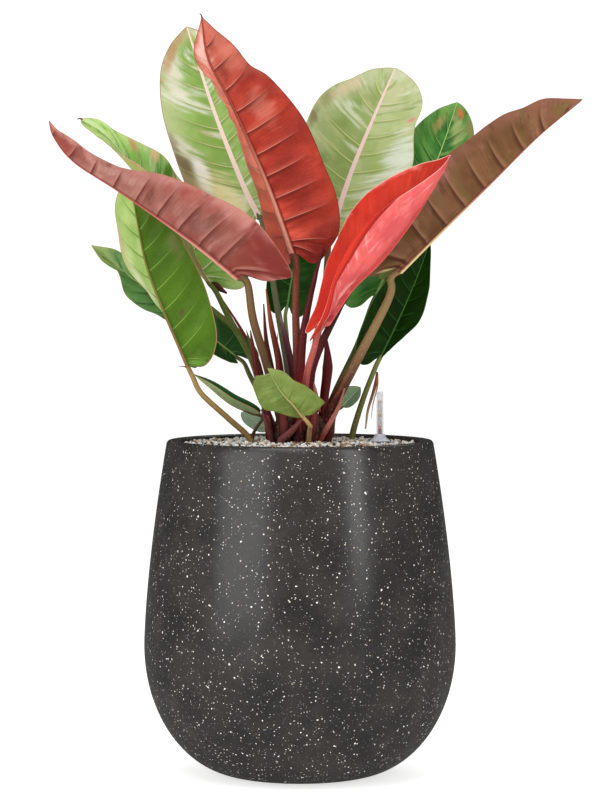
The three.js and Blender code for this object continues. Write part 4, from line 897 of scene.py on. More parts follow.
GREEN_BACK = skin("#6f8f4e", "#7f9c5c", "#b9b184", "#94a871", "#8a7350")
FINISHES = {
    "red": (
        skin("#a3574a", "#8f4438", "#b97f66", "#b06455", "#8c3a30", lee="#6e2a22", tip="#cf8f80",
             tip_range=(0.35, 0.9)),
        # Under face: the narrow half's pink ground and the bright red smudge on it are painted brighter than
        # the leaf. This is painted light on a band that lies in shade.
        skin("#ee8474", "#de6e60", "#d0907a", "#cb7868", "#7d1f1b", other=("#a93423", "#8c281c"),
             rib_tip="#8f3a2c", rib_shade="#a04a3a", gloss=0.12, lee="#4c120e", sun="#b8503f",
             rib_line="#5a1814", calm=(0.25, 1.0),
             patches=[("#b9503d", 1.3, 0.5, 0.52, 0.7, 0.5), ("#7a241c", 1.6, 0.4, 0.54, 0.7, 0.5)],
             tip="#bb6553", tip_range=(0.6, 0.95),
             smudges=[("#ecb9aa", 11.4, 0.4, 1.5, 0.6, 0.8), ("#e0907c", 9.6, 0.6, 1.6, 0.4, 0.5),
                      ("#fa6450", 3.4, 0.5, 2.8, 0.9, 0.85), ("#c97765", 8.6, -0.5, 1.0, 0.3, 0.5),
                      ("#842417", 10.6, -0.25, 0.7, 0.25, 0.7), ("#c4705e", 11.6, -0.7, 1.4, 0.4, 0.6),
                      ("#701712", 2.2, -0.8, 1.3, 0.7, 0.85), ("#8a2418", 4.8, -0.3, 1.6, 0.3, 0.5)],
             vein_width=1.2, vein_strength=0.8, rib_width=6.4, rough=0.44, bump=1.6),
    ),
    "cream_left": (
        skin("#9dba66", "#86a84f", "#f4d6cc", "#dcc796", "#a06a52", lee="#6f8d40",
             outer=("#c3c598", 0.5, 0.9, 0.6),
             patches=[("#dfe2cc", 1.3, 0.35, 0.5, 0.64, 0.8), ("#bb9769", 1.5, 0.4, 0.57, 0.7, 0.6),
                      ("#6a8a3a", 2.4, 0.5, 0.56, 0.7, 0.6)], tip="#a9944f", tip_range=(0.85, 1.05),
             rib_width=7.4, vein_width=1.1, margin_width=1.4,
             smudges=[("#b3a96e", 3.6, -0.7, 2.2, 0.6, 0.8), ("#efece4", 4.2, -0.62, 1.5, 0.22, 0.9),
                      ("#dfdccb", 5.2, -0.82, 1.0, 0.2, 0.6), ("#6a553f", 4.2, -0.87, 1.0, 0.2, 0.8),
                      ("#7d6a4e", 5.2, -0.97, 1.0, 0.15, 0.6), ("#b59c78", 2.6, -0.8, 1.2, 0.35, 0.7),
                      ("#dfdcc6", 8.8, -0.7, 1.6, 0.3, 0.8), ("#b98a62", 9.9, -0.9, 1.2, 0.16, 0.8),
                      ("#e6dca4", 3.4, -0.35, 1.6, 0.4, 0.8)], rough=0.5, underneath=False),
        GREEN_BACK,
    ),
    "rose": (
        skin("#a8473b", "#8f382f", "#b97568", "#b9665a", "#7c2a26",
             patches=[("#8a4a34", 1.2, 0.5, 0.5, 0.7, 0.5)], outer=("#8f2f2a", 0.7, 1.0, 0.6),
             underneath=False),
        skin("#ae7468", "#985c50", "#cf9080", "#64241f", "#b87468", rib_tip="#b8584c", rib_shade="#8c3a30",
             lee="#6a3029", sun="#b8786c", rib_line="#5f1f1b", outer=("#c28378", 0.5, 0.95, 0.85),
             foot="#84372c", foot_range=(0.42, 0.0),
             patches=[("#c79185", 1.2, 0.4, 0.56, 0.7, 0.5), ("#6a382e", 1.5, 0.4, 0.54, 0.68, 0.6),
                      ("#a03a2e", 1.1, 0.4, 0.56, 0.7, 0.5)],
             # The grey-brown smudge near the midrib is painted sheen.
             smudges=[("#7f2720", 2.3, -0.8, 1.1, 0.5, 0.95), ("#94594c", 3.4, -0.45, 0.9, 0.3, 0.6),
                      ("#6b4a44", 4.4, -0.3, 1.4, 0.25, 0.35), ("#9a3c30", 5.4, -0.75, 1.2, 0.3, 0.5),
                      ("#cf9d92", 8.4, -0.55, 1.6, 0.3, 0.5), ("#8e3f35", 10.8, -0.3, 1.6, 0.5, 0.9)],
             rib_width=4.6, rough=0.48, bump=1.4),
    ),
    "lime": (
        skin("#adcf70", "#8aba54", "#c9dba2", "#d6e5b8", "#c99c84", lee="#4f8620",
             outer=("#b9d08c", 0.55, 0.9, 0.4), calm=(1.0, 1.2),
             patches=[("#cbdca6", 1.6, 0.45, 0.54, 0.66, 0.7), ("#4a8520", 1.9, 0.4, 0.54, 0.66, 0.75)],
             # The darker green smudge by the fourth vein is painted shade.
             smudges=[("#cf9468", 9.3, 0.85, 0.3, 0.3, 0.95), ("#dcb988", 8.15, 0.9, 0.3, 0.22, 0.9),
                      ("#3f7a18", 7.2, 0.75, 0.7, 0.5, 0.9), ("#7b5a30", 6.7, 0.95, 0.3, 0.16, 0.7),
                      ("#5f9a30", 3.4, 0.3, 1.5, 0.7, 0.6)], rib_width=4.0, bump=1.2, underneath=False),
        skin("#b3a95e", "#a3b766", "#cdbb8a", "#c9b57c", "#d9998c",
             patches=[("#c98f62", 1.2, 0.5, 0.5, 0.68, 0.6)], margin_width=2.4),
    ),
    "drooping": (
        skin("#4c7a2c", "#5d8f38", "#9a9a55", "#7ea64f", "#7a5a3c"),
        # Under face: the pale ground of one half is painted light and the dark green of the other half is
        # painted shade, as the two halves face the light differently.
        skin("#a8bd72", "#8bad55", "#86643c", "#86a83e", "#a77158", other=("#4a6f06", "#3f6204"),
             rib_tip="#7a7a35", lee="#4a6f18", rib_line="#46561c",
             patches=[("#5f5022", 1.8, 0.6, 0.68, 0.74, 0.4)],
             smudges=[("#c9c9a2", 5.5, 0.7, 2.4, 0.28, 0.8), ("#c2a584", 3.4, 0.85, 1.4, 0.2, 0.8),
                      ("#b9a07c", 7.6, 0.9, 1.6, 0.14, 0.7), ("#6f973a", 1.2, -0.5, 1.6, 0.6, 0.7),
                      ("#5a3f1c", 4.3, -0.32, 0.22, 0.1, 0.8), ("#6d6a3a", 7.0, -0.8, 1.0, 0.2, 0.6),
                      ("#8fb25c", 0.9, 0.5, 2.5, 0.6, 0.5)], vein_width=0.9, rib_width=4.0, rough=0.46,
             margin_width=1.6),
    ),
    "dark_left": (
        skin("#47743a", "#5d8a48", "#8aa058", "#4f7f3e", "#8f8550", foot="#24501f", foot_range=(0.6, 0.3),
             tip="#8fa45c", tip_range=(0.78, 0.98), lee="#163a14",
             patches=[("#56803c", 1.3, 0.5, 0.54, 0.7, 0.6), ("#16380f", 1.6, 0.5, 0.55, 0.7, 0.5)],
             smudges=[("#8a8a4a", 3.6, 0.9, 1.6, 0.2, 0.6)], rib_width=2.6, underneath=False),
        GREEN_BACK,
    ),
    "front": (
        skin("#4c7029", "#5b8236", "#a89868", "#769458", "#6d6438"),
        skin("#76893f", "#64782f", "#c2a072", "#8da05a", "#7d6a3a", other=("#7e9147", "#6b7f34"),
             rib_tip="#a0aa62", lee="#586d22",
             patches=[("#95a556", 1.2, 0.5, 0.5, 0.68, 0.5), ("#4f6120", 1.4, 0.5, 0.58, 0.7, 0.4)],
             vein_width=0.5, vein_strength=0.5, rib_width=2.1, margin_width=0.9, rough=0.44, fine=0.1,
             bump=0.4),
    ),
    "folded": (
        skin("#234f2a", "#356b36", "#6b8a4a", "#4b7a45", "#7d7148", underneath=False, **NARROW),
        skin("#a9b98a", "#8fa56c", "#a58b62", "#b9c39a", "#b08268", **NARROW),
    ),
    "tiny_back": (
        skin("#86a284", "#9bb296", "#b9c4a4", "#a8bb9f", "#8a8a68", underneath=False, **NARROW),
        GREEN_BACK,
    ),
    "cream_right": (
        skin("#b8c688", "#9eb266", "#f3d2c8", "#dad292", "#b39a70", other=("#98ac66", "#869a52"),
             lee="#7d9a46", tip="#b9bf86", tip_range=(0.72, 1.0), outer=("#c3cb9c", 0.45, 0.85, 0.6),
             patches=[("#d9dec2", 1.3, 0.4, 0.52, 0.66, 0.75), ("#cfc394", 1.1, 0.4, 0.55, 0.7, 0.6),
                      ("#64873a", 2.4, 0.5, 0.56, 0.7, 0.6)],
             smudges=[("#dfe3d2", 5.4, 0.75, 1.8, 0.4, 0.85), ("#e3e5d6", 3.6, 0.5, 1.4, 0.4, 0.6),
                      ("#7c6a40", 6.3, -0.93, 0.9, 0.14, 0.8), ("#8a8050", 7.6, -0.9, 1.0, 0.16, 0.6),
                      ("#d9c2a0", 8.6, -0.85, 1.2, 0.2, 0.7), ("#cfa886", 5.2, -0.95, 0.5, 0.12, 0.8),
                      ("#e98783", 7.6, 0.86, 0.2, 0.13, 0.95), ("#d3cda6", 9.4, 0.3, 1.4, 0.5, 0.6)],
             rib_width=7.0, vein_width=1.2, rough=0.5, underneath=False),
        GREEN_BACK,
    ),
    "green_right": (
        skin("#35762a", "#265f1b", "#9cc46a", "#78aa52", "#7d9450", other=("#468634", "#347026"),
             lee="#174510", tip="#86a855", tip_range=(0.84, 1.02),
             patches=[("#6fa048", 1.5, 0.5, 0.5, 0.66, 0.8), ("#1c4d12", 1.9, 0.5, 0.55, 0.7, 0.6)],
             outer=("#5f9340", 0.5, 0.9, 0.5),
             smudges=[("#a3b06a", 12.0, 0.5, 1.0, 0.4, 0.8), ("#c46f35", 12.6, 0.8, 0.22, 0.2, 0.95),
                      ("#8a7a48", 11.6, 0.9, 0.8, 0.16, 0.8), ("#a8905a", 12.4, -0.6, 0.7, 0.25, 0.7)],
             rib_width=3.2, bump=1.3, underneath=False),
        GREEN_BACK,
    ),
    "bronze": (
        skin("#54702f", "#6b8a3d", "#c9bd80", "#8fa055", "#7b4a3c"),
        skin("#82593a", "#6c4727", "#dcc48a", "#6c3a32", "#8a4a3c", rib_tip="#a9694e", rib_shade="#7c4636",
             lee="#452413", sun="#a07a52", rib_line="#5f2a22", tip="#86533d", tip_range=(0.75, 1.0),
             outer=("#89584a", 0.6, 0.95, 0.5),
             patches=[("#9c6a58", 1.2, 0.45, 0.54, 0.7, 0.6), ("#6d5f2c", 1.4, 0.4, 0.52, 0.68, 0.6),
                      ("#53341c", 1.8, 0.5, 0.56, 0.7, 0.5)],
             # The mauve smudge near the margin is painted sheen.
             smudges=[("#a8706a", 5.2, 0.8, 1.6, 0.3, 0.7), ("#c9c08a", 1.4, 0.6, 0.4, 0.4, 0.8),
                      ("#55361e", 2.6, 0.3, 1.0, 0.4, 0.6)], rib_width=4.4, rough=0.44, bump=1.6),
    ),
    "new": (
        # Upper face: the dark red inner zone by the midrib is painted shade in the crease beside the rolled
        # half.
        skin("#cc3320", "#b42817", "#c9483a", "#cf4a36", "#f0b3a8", inner=("#8f1a10", 0.4, 0.05, 0.8),
             outer=("#ea8c7c", 0.94, 1.08, 0.85), patches=[("#da4a30", 1.6, 0.4, 0.54, 0.7, 0.6)],
             smudges=[("#c01f14", 3.2, -0.5, 1.8, 0.6, 0.7)], rib_width=3.0, vein_width=0.5,
             vein_strength=0.3, rough=0.4, bump=0.6, fine=0.06, gloss=0.12, underneath=False),
        # Under face: in the cover, the deep red is a painted shadow of the roll and the pale pink is painted
        # glints. The first pale patches paint highlight streaks on the roll.
        skin("#e2625e", "#d05253", "#d86a62", "#c03c3c", "#e9a59a", inner=("#b22c2e", 0.3, 0.05, 0.6),
             cover=("#cb2f1e", "#8c150e", 0.44, 0.062, "#f5c3bb"),
             patches=[("#f5c0b9", 0.35, 3.0, 0.56, 0.7, 0.5), ("#eb8480", 0.6, 1.6, 0.54, 0.68, 0.5),
                      ("#b8363a", 0.5, 2.0, 0.55, 0.7, 0.5)],
             smudges=[("#a02028", 2.4, 0.3, 1.2, 0.4, 0.8)], rib_width=3.0, vein_width=0.5,
             vein_strength=0.3, rough=0.32, bump=0.8, fine=0.06, gloss=0.16),
    ),
    "dark_right": (
        skin("#0c2600", "#143002", "#3f6a2a", "#22521a", "#4a6a2c", lee="#061f03",
             patches=[("#1f4a14", 1.2, 0.5, 0.55, 0.7, 0.5)], rib_width=2.2, gloss=0.06, underneath=False),
        skin("#24481a", "#2f5722", "#5f7a3c", "#3c6328", "#4b5a2c"),
    ),
    "tiny_right": (
        skin("#7c9b74", "#8fac86", "#b3c19c", "#9fb694", "#8a8a68", underneath=False, **NARROW),
        GREEN_BACK,
    ),
    "dark_back": (
        # Upper face: the very dark green is partly the leaf's own colour and partly painted shade, as the
        # leaf hangs behind the plant.
        skin("#173f0c", "#235214", "#6d9450", "#3c742c", "#4f6a34",
             patches=[("#34661c", 1.3, 0.5, 0.54, 0.7, 0.6)], rib_width=2.4, gloss=0.14, underneath=False),
        skin("#2c5522", "#3a652c", "#6d8a4a", "#4c7338", "#5b6a3c"),
    ),
}
print("finishes:", len(FINISHES))

# %% Make the leaves
leaf_faces = 0
for leaf_name, (upper, under) in FINISHES.items():
    blade = blade_piece(leaf_name)
    blade.data.materials.append(blade_finish(f"{leaf_name}_upper", **upper))
    blade.data.materials.append(blade_finish(f"{leaf_name}_under", **under))
    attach(blade, "root")
    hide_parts(f"leaf_{leaf_name}")
    leaf_faces += len(blade.data.polygons)
print("blades:", len(FINISHES), "triangles:", leaf_faces)

# %% [markdown]
# ## Round stems
# Leaf stalks, sheaths and dry scraps are all round things that taper along a curve. One helper sets rings of
# points along the curve, each turned as little as possible from the one before, so that nothing twists. Its
# UV map says how far round and how many millimetres along each point is.

# %% Tubes along a curve
def ring_frames(points):
    """The way forward and two ways across at each point of a path, without twist."""
    forward = unit(np.gradient(points, axis=0))
    across = [unit(np.cross(forward[0], (0.35, 1.0, 0.1)))]
    for way in forward[1:]:
        across.append(unit(across[-1] - dot(across[-1], way) * way))
    across = np.array(across)
    return forward, across, np.cross(forward, across)


def tube_piece(name, path, radii, steps=60, sides=20, swell=None, wander=0.0):
    """A closed round stem. swell gives a factor on the radius for an angle and a share of the length."""
    share = np.linspace(0, 1, steps)
    points = through(path, share)
    forward, across, beside = ring_frames(points)
    travelled = np.concatenate([[0], np.cumsum(np.linalg.norm(np.diff(points, axis=0), axis=1))])
    if wander:
        points = points + wander * np.sin(travelled / 9.0)[:, None] * across
    radius = np.interp(share, np.linspace(0, 1, len(radii)), radii)[:, None]
    angle = (np.arange(sides) / sides * 2 * np.pi)[None, :]
    if swell is not None:
        radius = radius * swell(angle, share[:, None])
    ring = (radius * np.cos(angle))[..., None] * across[:, None]
    ring = ring + (radius * np.sin(angle))[..., None] * beside[:, None]
    surface = (points[:, None] + ring).reshape(-1, 3)
    faces, corners = [], []
    for i in range(steps - 1):
        for j in range(sides):
            k = (j + 1) % sides
            faces.append((i * sides + j, i * sides + k, (i + 1) * sides + k, (i + 1) * sides + j))
            corners += [(j / sides, travelled[i]), ((j + 1) / sides, travelled[i]),
                        ((j + 1) / sides, travelled[i + 1]), (j / sides, travelled[i + 1])]
    faces.append(tuple(range(sides))[::-1])
    corners += [(j / sides, travelled[0]) for j in range(sides)]
    faces.append(tuple((steps - 1) * sides + j for j in range(sides)))
    corners += [(j / sides, travelled[-1]) for j in range(sides)]
    made = mesh_object(name, surface * MM, faces)
    layer = made.data.uv_layers.new(name="tube")
    layer.data.foreach_set("uv", np.array(corners, np.float32).ravel())
    made.data.shade_smooth()
    return made


def join_pieces(name, parts):
    """One object from several, with their meshes and finishes together."""
    work = bmesh.new()
    for part in parts:
        work.from_mesh(part.data)
    mesh = bpy.data.meshes.new(name)
    work.to_mesh(mesh)
    work.free()
    for material in parts[0].data.materials:
        mesh.materials.append(material)
    for part in parts:
        bpy.data.objects.remove(part)
    return linked(name, mesh)


print("tube helper ready")

# %% [markdown]
# ## The skin of a stem
# A leaf stalk of this plant is streaked along its length and speckled with short pale dashes. The streaks are
# noise that is read on a circle round the stem and only slowly along it, so that it has no seam. The specks
# are cells stretched along the stem, of which only some are kept. Stalks and sheaths share this as a group.

# %% Node group for stems
def build_stem_marks():
    group, t, given = open_group("stem marks", {"Streak Count": 2.2, "Speck Share": 0.25})
    turned, distance = t.map("tube")
    turn = t.times(turned, 2 * math.pi)
    circle = t.combine(
        t.times(t.math("COSINE", turn), given["Streak Count"]),
        t.times(t.math("SINE", turn), given["Streak Count"]),
        t.times(distance, 0.018),
    )
    streak = t.noise(circle, 1.0, 5.0, 0.65)
    dashes = t.vector("MULTIPLY", circle, (2.2, 2.2, 16.0))
    cells = t.add("ShaderNodeTexVoronoi", {"Vector": dashes, "Scale": 1.0})
    pick = t.add("ShaderNodeSeparateColor", {0: cells.outputs["Color"]})
    kept = t.math("LESS_THAN", pick.outputs[0], given["Speck Share"])
    speck = t.times(t.ramp(cells.outputs["Distance"], 0.42, 0.22), kept)
    height = t.math("MULTIPLY_ADD", speck, 0.35, streak)
    close_group(group, {"Streak": streak, "Speck": speck, "Distance": distance, "Around": turn,
                        "Height": height})
    return group


STEM_MARKS = build_stem_marks()


def stem_finish(name, low, high, streak, speck, ramp_mm=(40, 180), speck_share=0.25, band=None, tip=None,
                tip_mm=(100, 160), rough=0.42):
    """A finish that runs from its low colour at the soil to its high colour further up."""
    material, t, shader = new_material(name)
    marks = t.add("ShaderNodeGroup", node_tree=STEM_MARKS)
    marks.inputs["Speck Share"].default_value = speck_share
    out = marks.outputs
    colour = t.mix(t.ramp(out["Distance"], *ramp_mm), low, high)
    if tip:
        colour = t.mix(t.ramp(out["Distance"], *tip_mm), colour, tip)
    colour = t.mix(t.times(t.ramp(out["Streak"], 0.45, 0.7), 0.7), colour, streak)
    if band:
        tint, turn, start, end = band
        facing = t.math("COSINE", t.math("SUBTRACT", out["Around"], turn))
        height = out["Distance"]
        part = t.times(t.ramp(height, start, start + 15), t.ramp(height, end, end - 25))
        colour = t.mix(t.times(t.ramp(facing, 0.35, 0.8), part), colour, tint)
    colour = t.mix(t.times(out["Speck"], 0.5), colour, speck)
    roughness = t.math("MULTIPLY_ADD", out["Streak"], 0.25, rough - 0.12)
    t.surface(shader, colour, roughness, out["Height"], 0.5, 0.0005, 0.2)
    return material


def stem(low, high, streak, speck, **more):
    """The values of one stem finish: its four colours, then all that sets it apart."""
    return dict(low=low, high=high, streak=streak, speck=speck, **more)


print("stem marks:", len(STEM_MARKS.nodes), "nodes")

# %% [markdown]
# ## The leaf stalks
# Each stalk rises out of the crown, leans outwards and runs on into the midrib of its blade. It is a little
# flattened, with a shallow groove, and thinner towards the blade. The colours change from leaf to leaf: young
# leaves stand on salmon and maroon stalks, old ones on olive and tan ones.

# %% Leaf stalks
CROWN_ROOT = 14.0
SHOOT_ROOT = 26.0
NECK_LENGTH = 14.0
INTO_BLADE = 9.0
FOOT_DROP = 1.1
END_DROP = 2.0

STALK_LOOKS = {
    "red": stem("#521c1a", "#7a3c2e", "#8c4e3c", "#a58468", band=("#75713a", 3.4, 20, 120)),
    "cream_left": stem("#4c4a34", "#6b6c4c", "#57463a", "#9a9a78"),
    "rose": stem("#44321c", "#705534", "#553222", "#3a2818", band=("#83884a", 3.0, 40, 110),
                 speck_share=0.45),
    "lime": stem("#4a4c22", "#6f7f38", "#333d18", "#a9b272"),
    "drooping": stem("#8a7240", "#a08a50", "#7d5a38", "#c9b58a"),
    "dark_left": stem("#5b5a30", "#70783c", "#4a4a28", "#a5a86a"),
    "front": stem("#8d7440", "#bda468", "#a5703f", "#ddd09a", ramp_mm=(20, 50)),
    "folded": stem("#5f4630", "#8a6a48", "#4f3828", "#b59a72"),
    "tiny_back": stem("#6a6a3c", "#8a9458", "#5a5a34", "#b5b88a"),
    "cream_right": stem("#44302a", "#6d5a40", "#5a3a30", "#a08a68"),
    "green_right": stem("#42401f", "#5f6a30", "#35381c", "#8d9456"),
    "bronze": stem("#451815", "#857046", "#9c604a", "#b5907a", band=("#a8624f", 5.6, 20, 130),
                   ramp_mm=(60, 170)),
    "new": stem("#6a2426", "#b85a50", "#8f3a36", "#e0a498", ramp_mm=(30, 110)),
    "dark_right": stem("#6f6a38", "#7f8f45", "#5a6a30", "#b5b878"),
    "tiny_right": stem("#6a6a3c", "#8a9458", "#5a5a34", "#b5b88a"),
    "dark_back": stem("#6f7a38", "#93a355", "#5f7a34", "#b8c488"),
}


def stalk_swell(angle, share):
    """Flattened a little, with a shallow groove along the upper side."""
    groove = np.exp(-((np.angle(np.exp(1j * (angle - 1.2))) / 0.35) ** 2))
    return 1 - 0.05 * np.cos(2 * angle) - 0.07 * groove * share + 0.012 * np.sin(7 * angle + 3 * share)


for leaf_name, colours in STALK_LOOKS.items():
    form = LEAVES[leaf_name]
    centre, forward, _, up = (value[0] for value in Midrib(form).frame(np.zeros(1)))
    foot = np.array(form["stalk"][0], float)
    foot[2] -= SHOOT_ROOT if form["shoot"] else CROWN_ROOT
    neck = centre - NECK_LENGTH * forward
    end = centre + INTO_BLADE * forward - END_DROP * up
    radii = form["radii"]
    path = [foot, *form["stalk"], neck, centre - FOOT_DROP * up, end]
    stalk = tube_piece(f"petiole_{leaf_name}", path, [radii[0], *radii, radii[-1] * 0.92, radii[-1] * 0.45],
                       steps=72, swell=stalk_swell)
    stalk.data.materials.append(stem_finish(f"petiole_{leaf_name}", **colours))
    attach(stalk, "root")
    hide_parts(f"stalk_{leaf_name}")
print("stalks:", len(STALK_LOOKS))

# %% [markdown]
# ## Sheaths and bracts
# Every new leaf comes out of a pointed sheath, which stays standing for a while as a dark red spear. A sheath
# is rolled, so one edge laps over the other: the ring of the tube has a low keel for that edge. Each entry
# gives the path and the radii along it, which repeat the construction's, and then the colours.

# %% Sheaths and bracts
SHEATHS = {
    "sheath_tall": (
        [[-5, -12, 389], [-1, -20, 434], [3, -34, 503], [15, -43, 566], [27, -48, 609]], [5, 6, 5, 3, 0.8],
        stem("#8c1c22", "#551a1a", "#6e2020", "#9a4a48", ramp_mm=(60, 120)),
    ),
    "sheath_long": (
        [[8, -11, 389], [13, -24, 466], [42, -46, 535], [58, -62, 561], [72, -80, 584]],
        [4.5, 5, 4.4, 3, 0.8],
        stem("#641a1c", "#4f1a1b", "#702a2a", "#8f504c", tip="#3a1518"),
    ),
    "sheath_swollen": (
        [[23, 9, 389], [28, 8, 435], [32, 6, 471], [30, 4, 508]], [4, 5.5, 6.3, 1],
        stem("#701a1f", "#4c1416", "#6c2224", "#80403f"),
    ),
    "sheath_amber": (
        [[-20, -2, 389], [-23, -8, 468], [-33, -13, 520], [-39, -16, 561]], [3.8, 4.6, 3, 0.8],
        stem("#5c1d1c", "#742e24", "#803a2c", "#b06a48", tip="#a4562e", tip_mm=(120, 175)),
    ),
    "sheath_slim": (
        [[-21, 11, 390], [-32, 6, 465], [-39, 4, 502], [-42, 2, 544]], [3.4, 3.4, 2.6, 0.8],
        stem("#5a1a1b", "#6e2826", "#75382f", "#8d5a4a"),
    ),
    "sheath_purple": (
        [[-7, 18, 391], [-8, 10, 458], [-16, 4, 502], [-23, 2, 531]], [4, 4.4, 3.8, 0.8],
        stem("#5c2228", "#744450", "#4a2a33", "#a5848a", tip="#9c7c7d", tip_mm=(130, 160)),
    ),
    "sheath_short": (
        [[-29, -12, 389], [-49, -15, 462], [-54, -16, 494], [-57, -16, 514]], [3.4, 3.2, 2.6, 0.6],
        stem("#5c1a1c", "#742526", "#3c1618", "#864644"),
    ),
    "sheath_thin": (
        [[-32, 15, 390], [-47, 26, 472], [-66, 28, 510], [-89, 30, 547]], [3, 2.4, 2, 0.8],
        stem("#6f2624", "#9c3c33", "#7a2c28", "#c0695c"),
    ),
    "bract_left": (
        [[-32, -29, 388], [-38, -33, 407], [-44, -34, 424]], [3.2, 3, 1],
        stem("#552226", "#74393a", "#8c5a50", "#b08a7a", ramp_mm=(10, 40)),
    ),
    "bract_front": (
        [[-22, -44, 388], [-10, -46, 399], [2, -47, 413]], [4.2, 4.4, 1.5],
        stem("#5f2a2c", "#8a4a46", "#a5706a", "#c9a08f", ramp_mm=(10, 40)),
    ),
}



def sheath_swell(angle, share):
    """A keel where one edge of the rolled sheath laps over the other, and a flatter back."""
    lap = np.exp(-((np.angle(np.exp(1j * (angle - 4.2 - 0.8 * share))) / 0.3) ** 2))
    return 1 + 0.12 * lap - 0.06 * np.cos(2 * angle) + 0.03 * np.sin(5 * angle + 9 * share)


for node_name, (places, radii, colours) in SHEATHS.items():
    x, y, z = places[0]
    sheath = tube_piece(f"spear_{node_name}", [[x, y, z - CROWN_ROOT], *places], [radii[0], *radii], steps=56,
                        sides=22, swell=sheath_swell)
    sheath.data.materials.append(stem_finish(f"spear_{node_name}", speck_share=0.14, rough=0.46, **colours))
    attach(sheath, "root")
    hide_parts(node_name)
print("sheaths and bracts:", len(SHEATHS))

# %% [markdown]
# ## The pot
# The pot is turned, so one profile makes it: a narrow flat foot, a full belly low down and a rim that draws
# in. The construction has it with forty sides. Here the same profile is turned with many more, and the lip
# gets a small round edge.

# %% Turned pieces
def lathe_piece(name, profile, sides=96, middle=(0.0, 0.0), closed_ring=False):
    """A closed turned piece. Points on the axis become poles; a closed ring of a profile makes a tube."""
    points, rows = [], []
    x, y = middle
    for radius, height in profile:
        if radius < 1e-6:
            rows.append([len(points)] * sides)
            points.append((x, y, height))
            continue
        rows.append([len(points) + j for j in range(sides)])
        for j in range(sides):
            angle = j / sides * 2 * math.pi
            points.append((x + radius * math.cos(angle), y + radius * math.sin(angle), height))
    faces = []
    pairs = list(zip(rows, rows[1:] + rows[:1] if closed_ring else rows[1:]))
    for low, high in pairs:
        for j in range(sides):
            k = (j + 1) % sides
            ring = list(dict.fromkeys((low[j], low[k], high[k], high[j])))
            if len(ring) > 2:
                faces.append(tuple(ring))
    made = mesh_object(name, np.array(points) * MM, faces)
    work = bmesh.new()
    work.from_mesh(made.data)
    bmesh.ops.recalc_face_normals(work, faces=work.faces)
    work.to_mesh(made.data)
    work.free()
    made.data.shade_smooth()
    return made


POT_HEIGHT, FOOT, BELLY, BELLY_HEIGHT, RIM, WALL, LIP = 387.0, 68.0, 180.3, 150.0, 153.5, 14.0, 3.0


def pot_radius(height):
    if height < BELLY_HEIGHT:
        return FOOT + (BELLY - FOOT) * math.sqrt(1 - (1 - height / BELLY_HEIGHT) ** 2)
    share = (height - BELLY_HEIGHT) / (POT_HEIGHT - BELLY_HEIGHT)
    return BELLY - (BELLY - RIM) * share**1.5


def inside_radius(height):
    low = max(0.0, 1 - (height - WALL) / (BELLY_HEIGHT - WALL))
    foot, belly = FOOT - WALL / 2, BELLY - WALL
    return foot + (belly - foot) * math.sqrt(1 - low * low) if low > 0 else pot_radius(height) - WALL


def inside_heights():
    bowl = [BELLY_HEIGHT - (BELLY_HEIGHT - WALL) * math.cos(i / 24 * math.pi / 2) for i in range(24)]
    return bowl + [float(h) for h in np.linspace(BELLY_HEIGHT, POT_HEIGHT - LIP, 22)]


def round_lip(radius, turn):
    """A quarter of a round edge at a radius, outside where turn is 1 and inside where it is -1."""
    steps = [i / 6 * math.pi / 2 for i in range(1, 7)]
    ring = [(radius - turn * LIP * (1 - math.cos(a)), POT_HEIGHT - LIP + LIP * math.sin(a)) for a in steps]
    return ring if turn == 1 else ring[::-1]


heights = [BELLY_HEIGHT * (1 - math.cos(i / 40 * math.pi / 2)) for i in range(1, 40)]
heights += list(np.linspace(BELLY_HEIGHT, POT_HEIGHT - LIP, 34))
outside = [(pot_radius(h), h) for h in heights]
inside = [(inside_radius(h), h) for h in inside_heights()][::-1]
lip = [*round_lip(RIM, 1), *round_lip(RIM - WALL, -1)]
pot_profile = [(0.0, 0.0), (FOOT * 0.98, 0.0), *outside, *lip, *inside, (0.0, WALL)]
pot = lathe_piece("pot_body", pot_profile, sides=144)
print("pot faces:", len(pot.data.polygons))

# %% [markdown]
# ## Terrazzo
# Terrazzo is a dark binder full of stone chips that is ground flat, so a chip is only a change of colour and
# gloss. A cell texture scatters them: each cell draws one number that says whether it holds a chip, and
# another that says how large it is. Noise bends the cells, or all chips would be round. The same group is
# used at three scales, for chips, grains and the tiny pits that the grinding opens.

# %% Node group for chips
def build_chips():
    group, t, given = open_group("chips", {"Spacing": 4.0, "Share": 0.3, "Size": 0.3})
    place = t.place()
    scale = t.math("DIVIDE", 1000.0, given["Spacing"])
    bent = t.add("ShaderNodeTexNoise", {"Vector": place, "Scale": t.times(scale, 1.6), "Detail": 2.0})
    shift = t.vector("SUBTRACT", bent.outputs["Color"], (0.5, 0.5, 0.5))
    reach = t.math("DIVIDE", 0.5, scale)
    small = t.add("ShaderNodeVectorMath", {0: shift, "Scale": reach}, operation="SCALE")
    moved = t.vector("ADD", place, small.outputs[0])
    cells = t.add("ShaderNodeTexVoronoi", {"Vector": moved, "Scale": scale})
    draw = t.add("ShaderNodeSeparateColor", {0: cells.outputs["Color"]})
    kept = t.math("LESS_THAN", draw.outputs[0], given["Share"])
    size = t.times(given["Size"], t.math("MULTIPLY_ADD", draw.outputs[1], 0.9, 0.35))
    edge = t.ramp(cells.outputs["Distance"], size, t.times(size, 0.75))
    close_group(group, {"Chip": t.times(edge, kept), "Tone": draw.outputs[2]})
    return group


CHIPS = build_chips()
CHIP_LAYERS = [(1.8, 0.2, 0.28, "#77767a", "#b9b7b0"), (3.3, 0.42, 0.22, "#efece4", "#cfc5ae"),
               (6.0, 0.34, 0.17, "#fbf9f4", "#c9c2b2")]


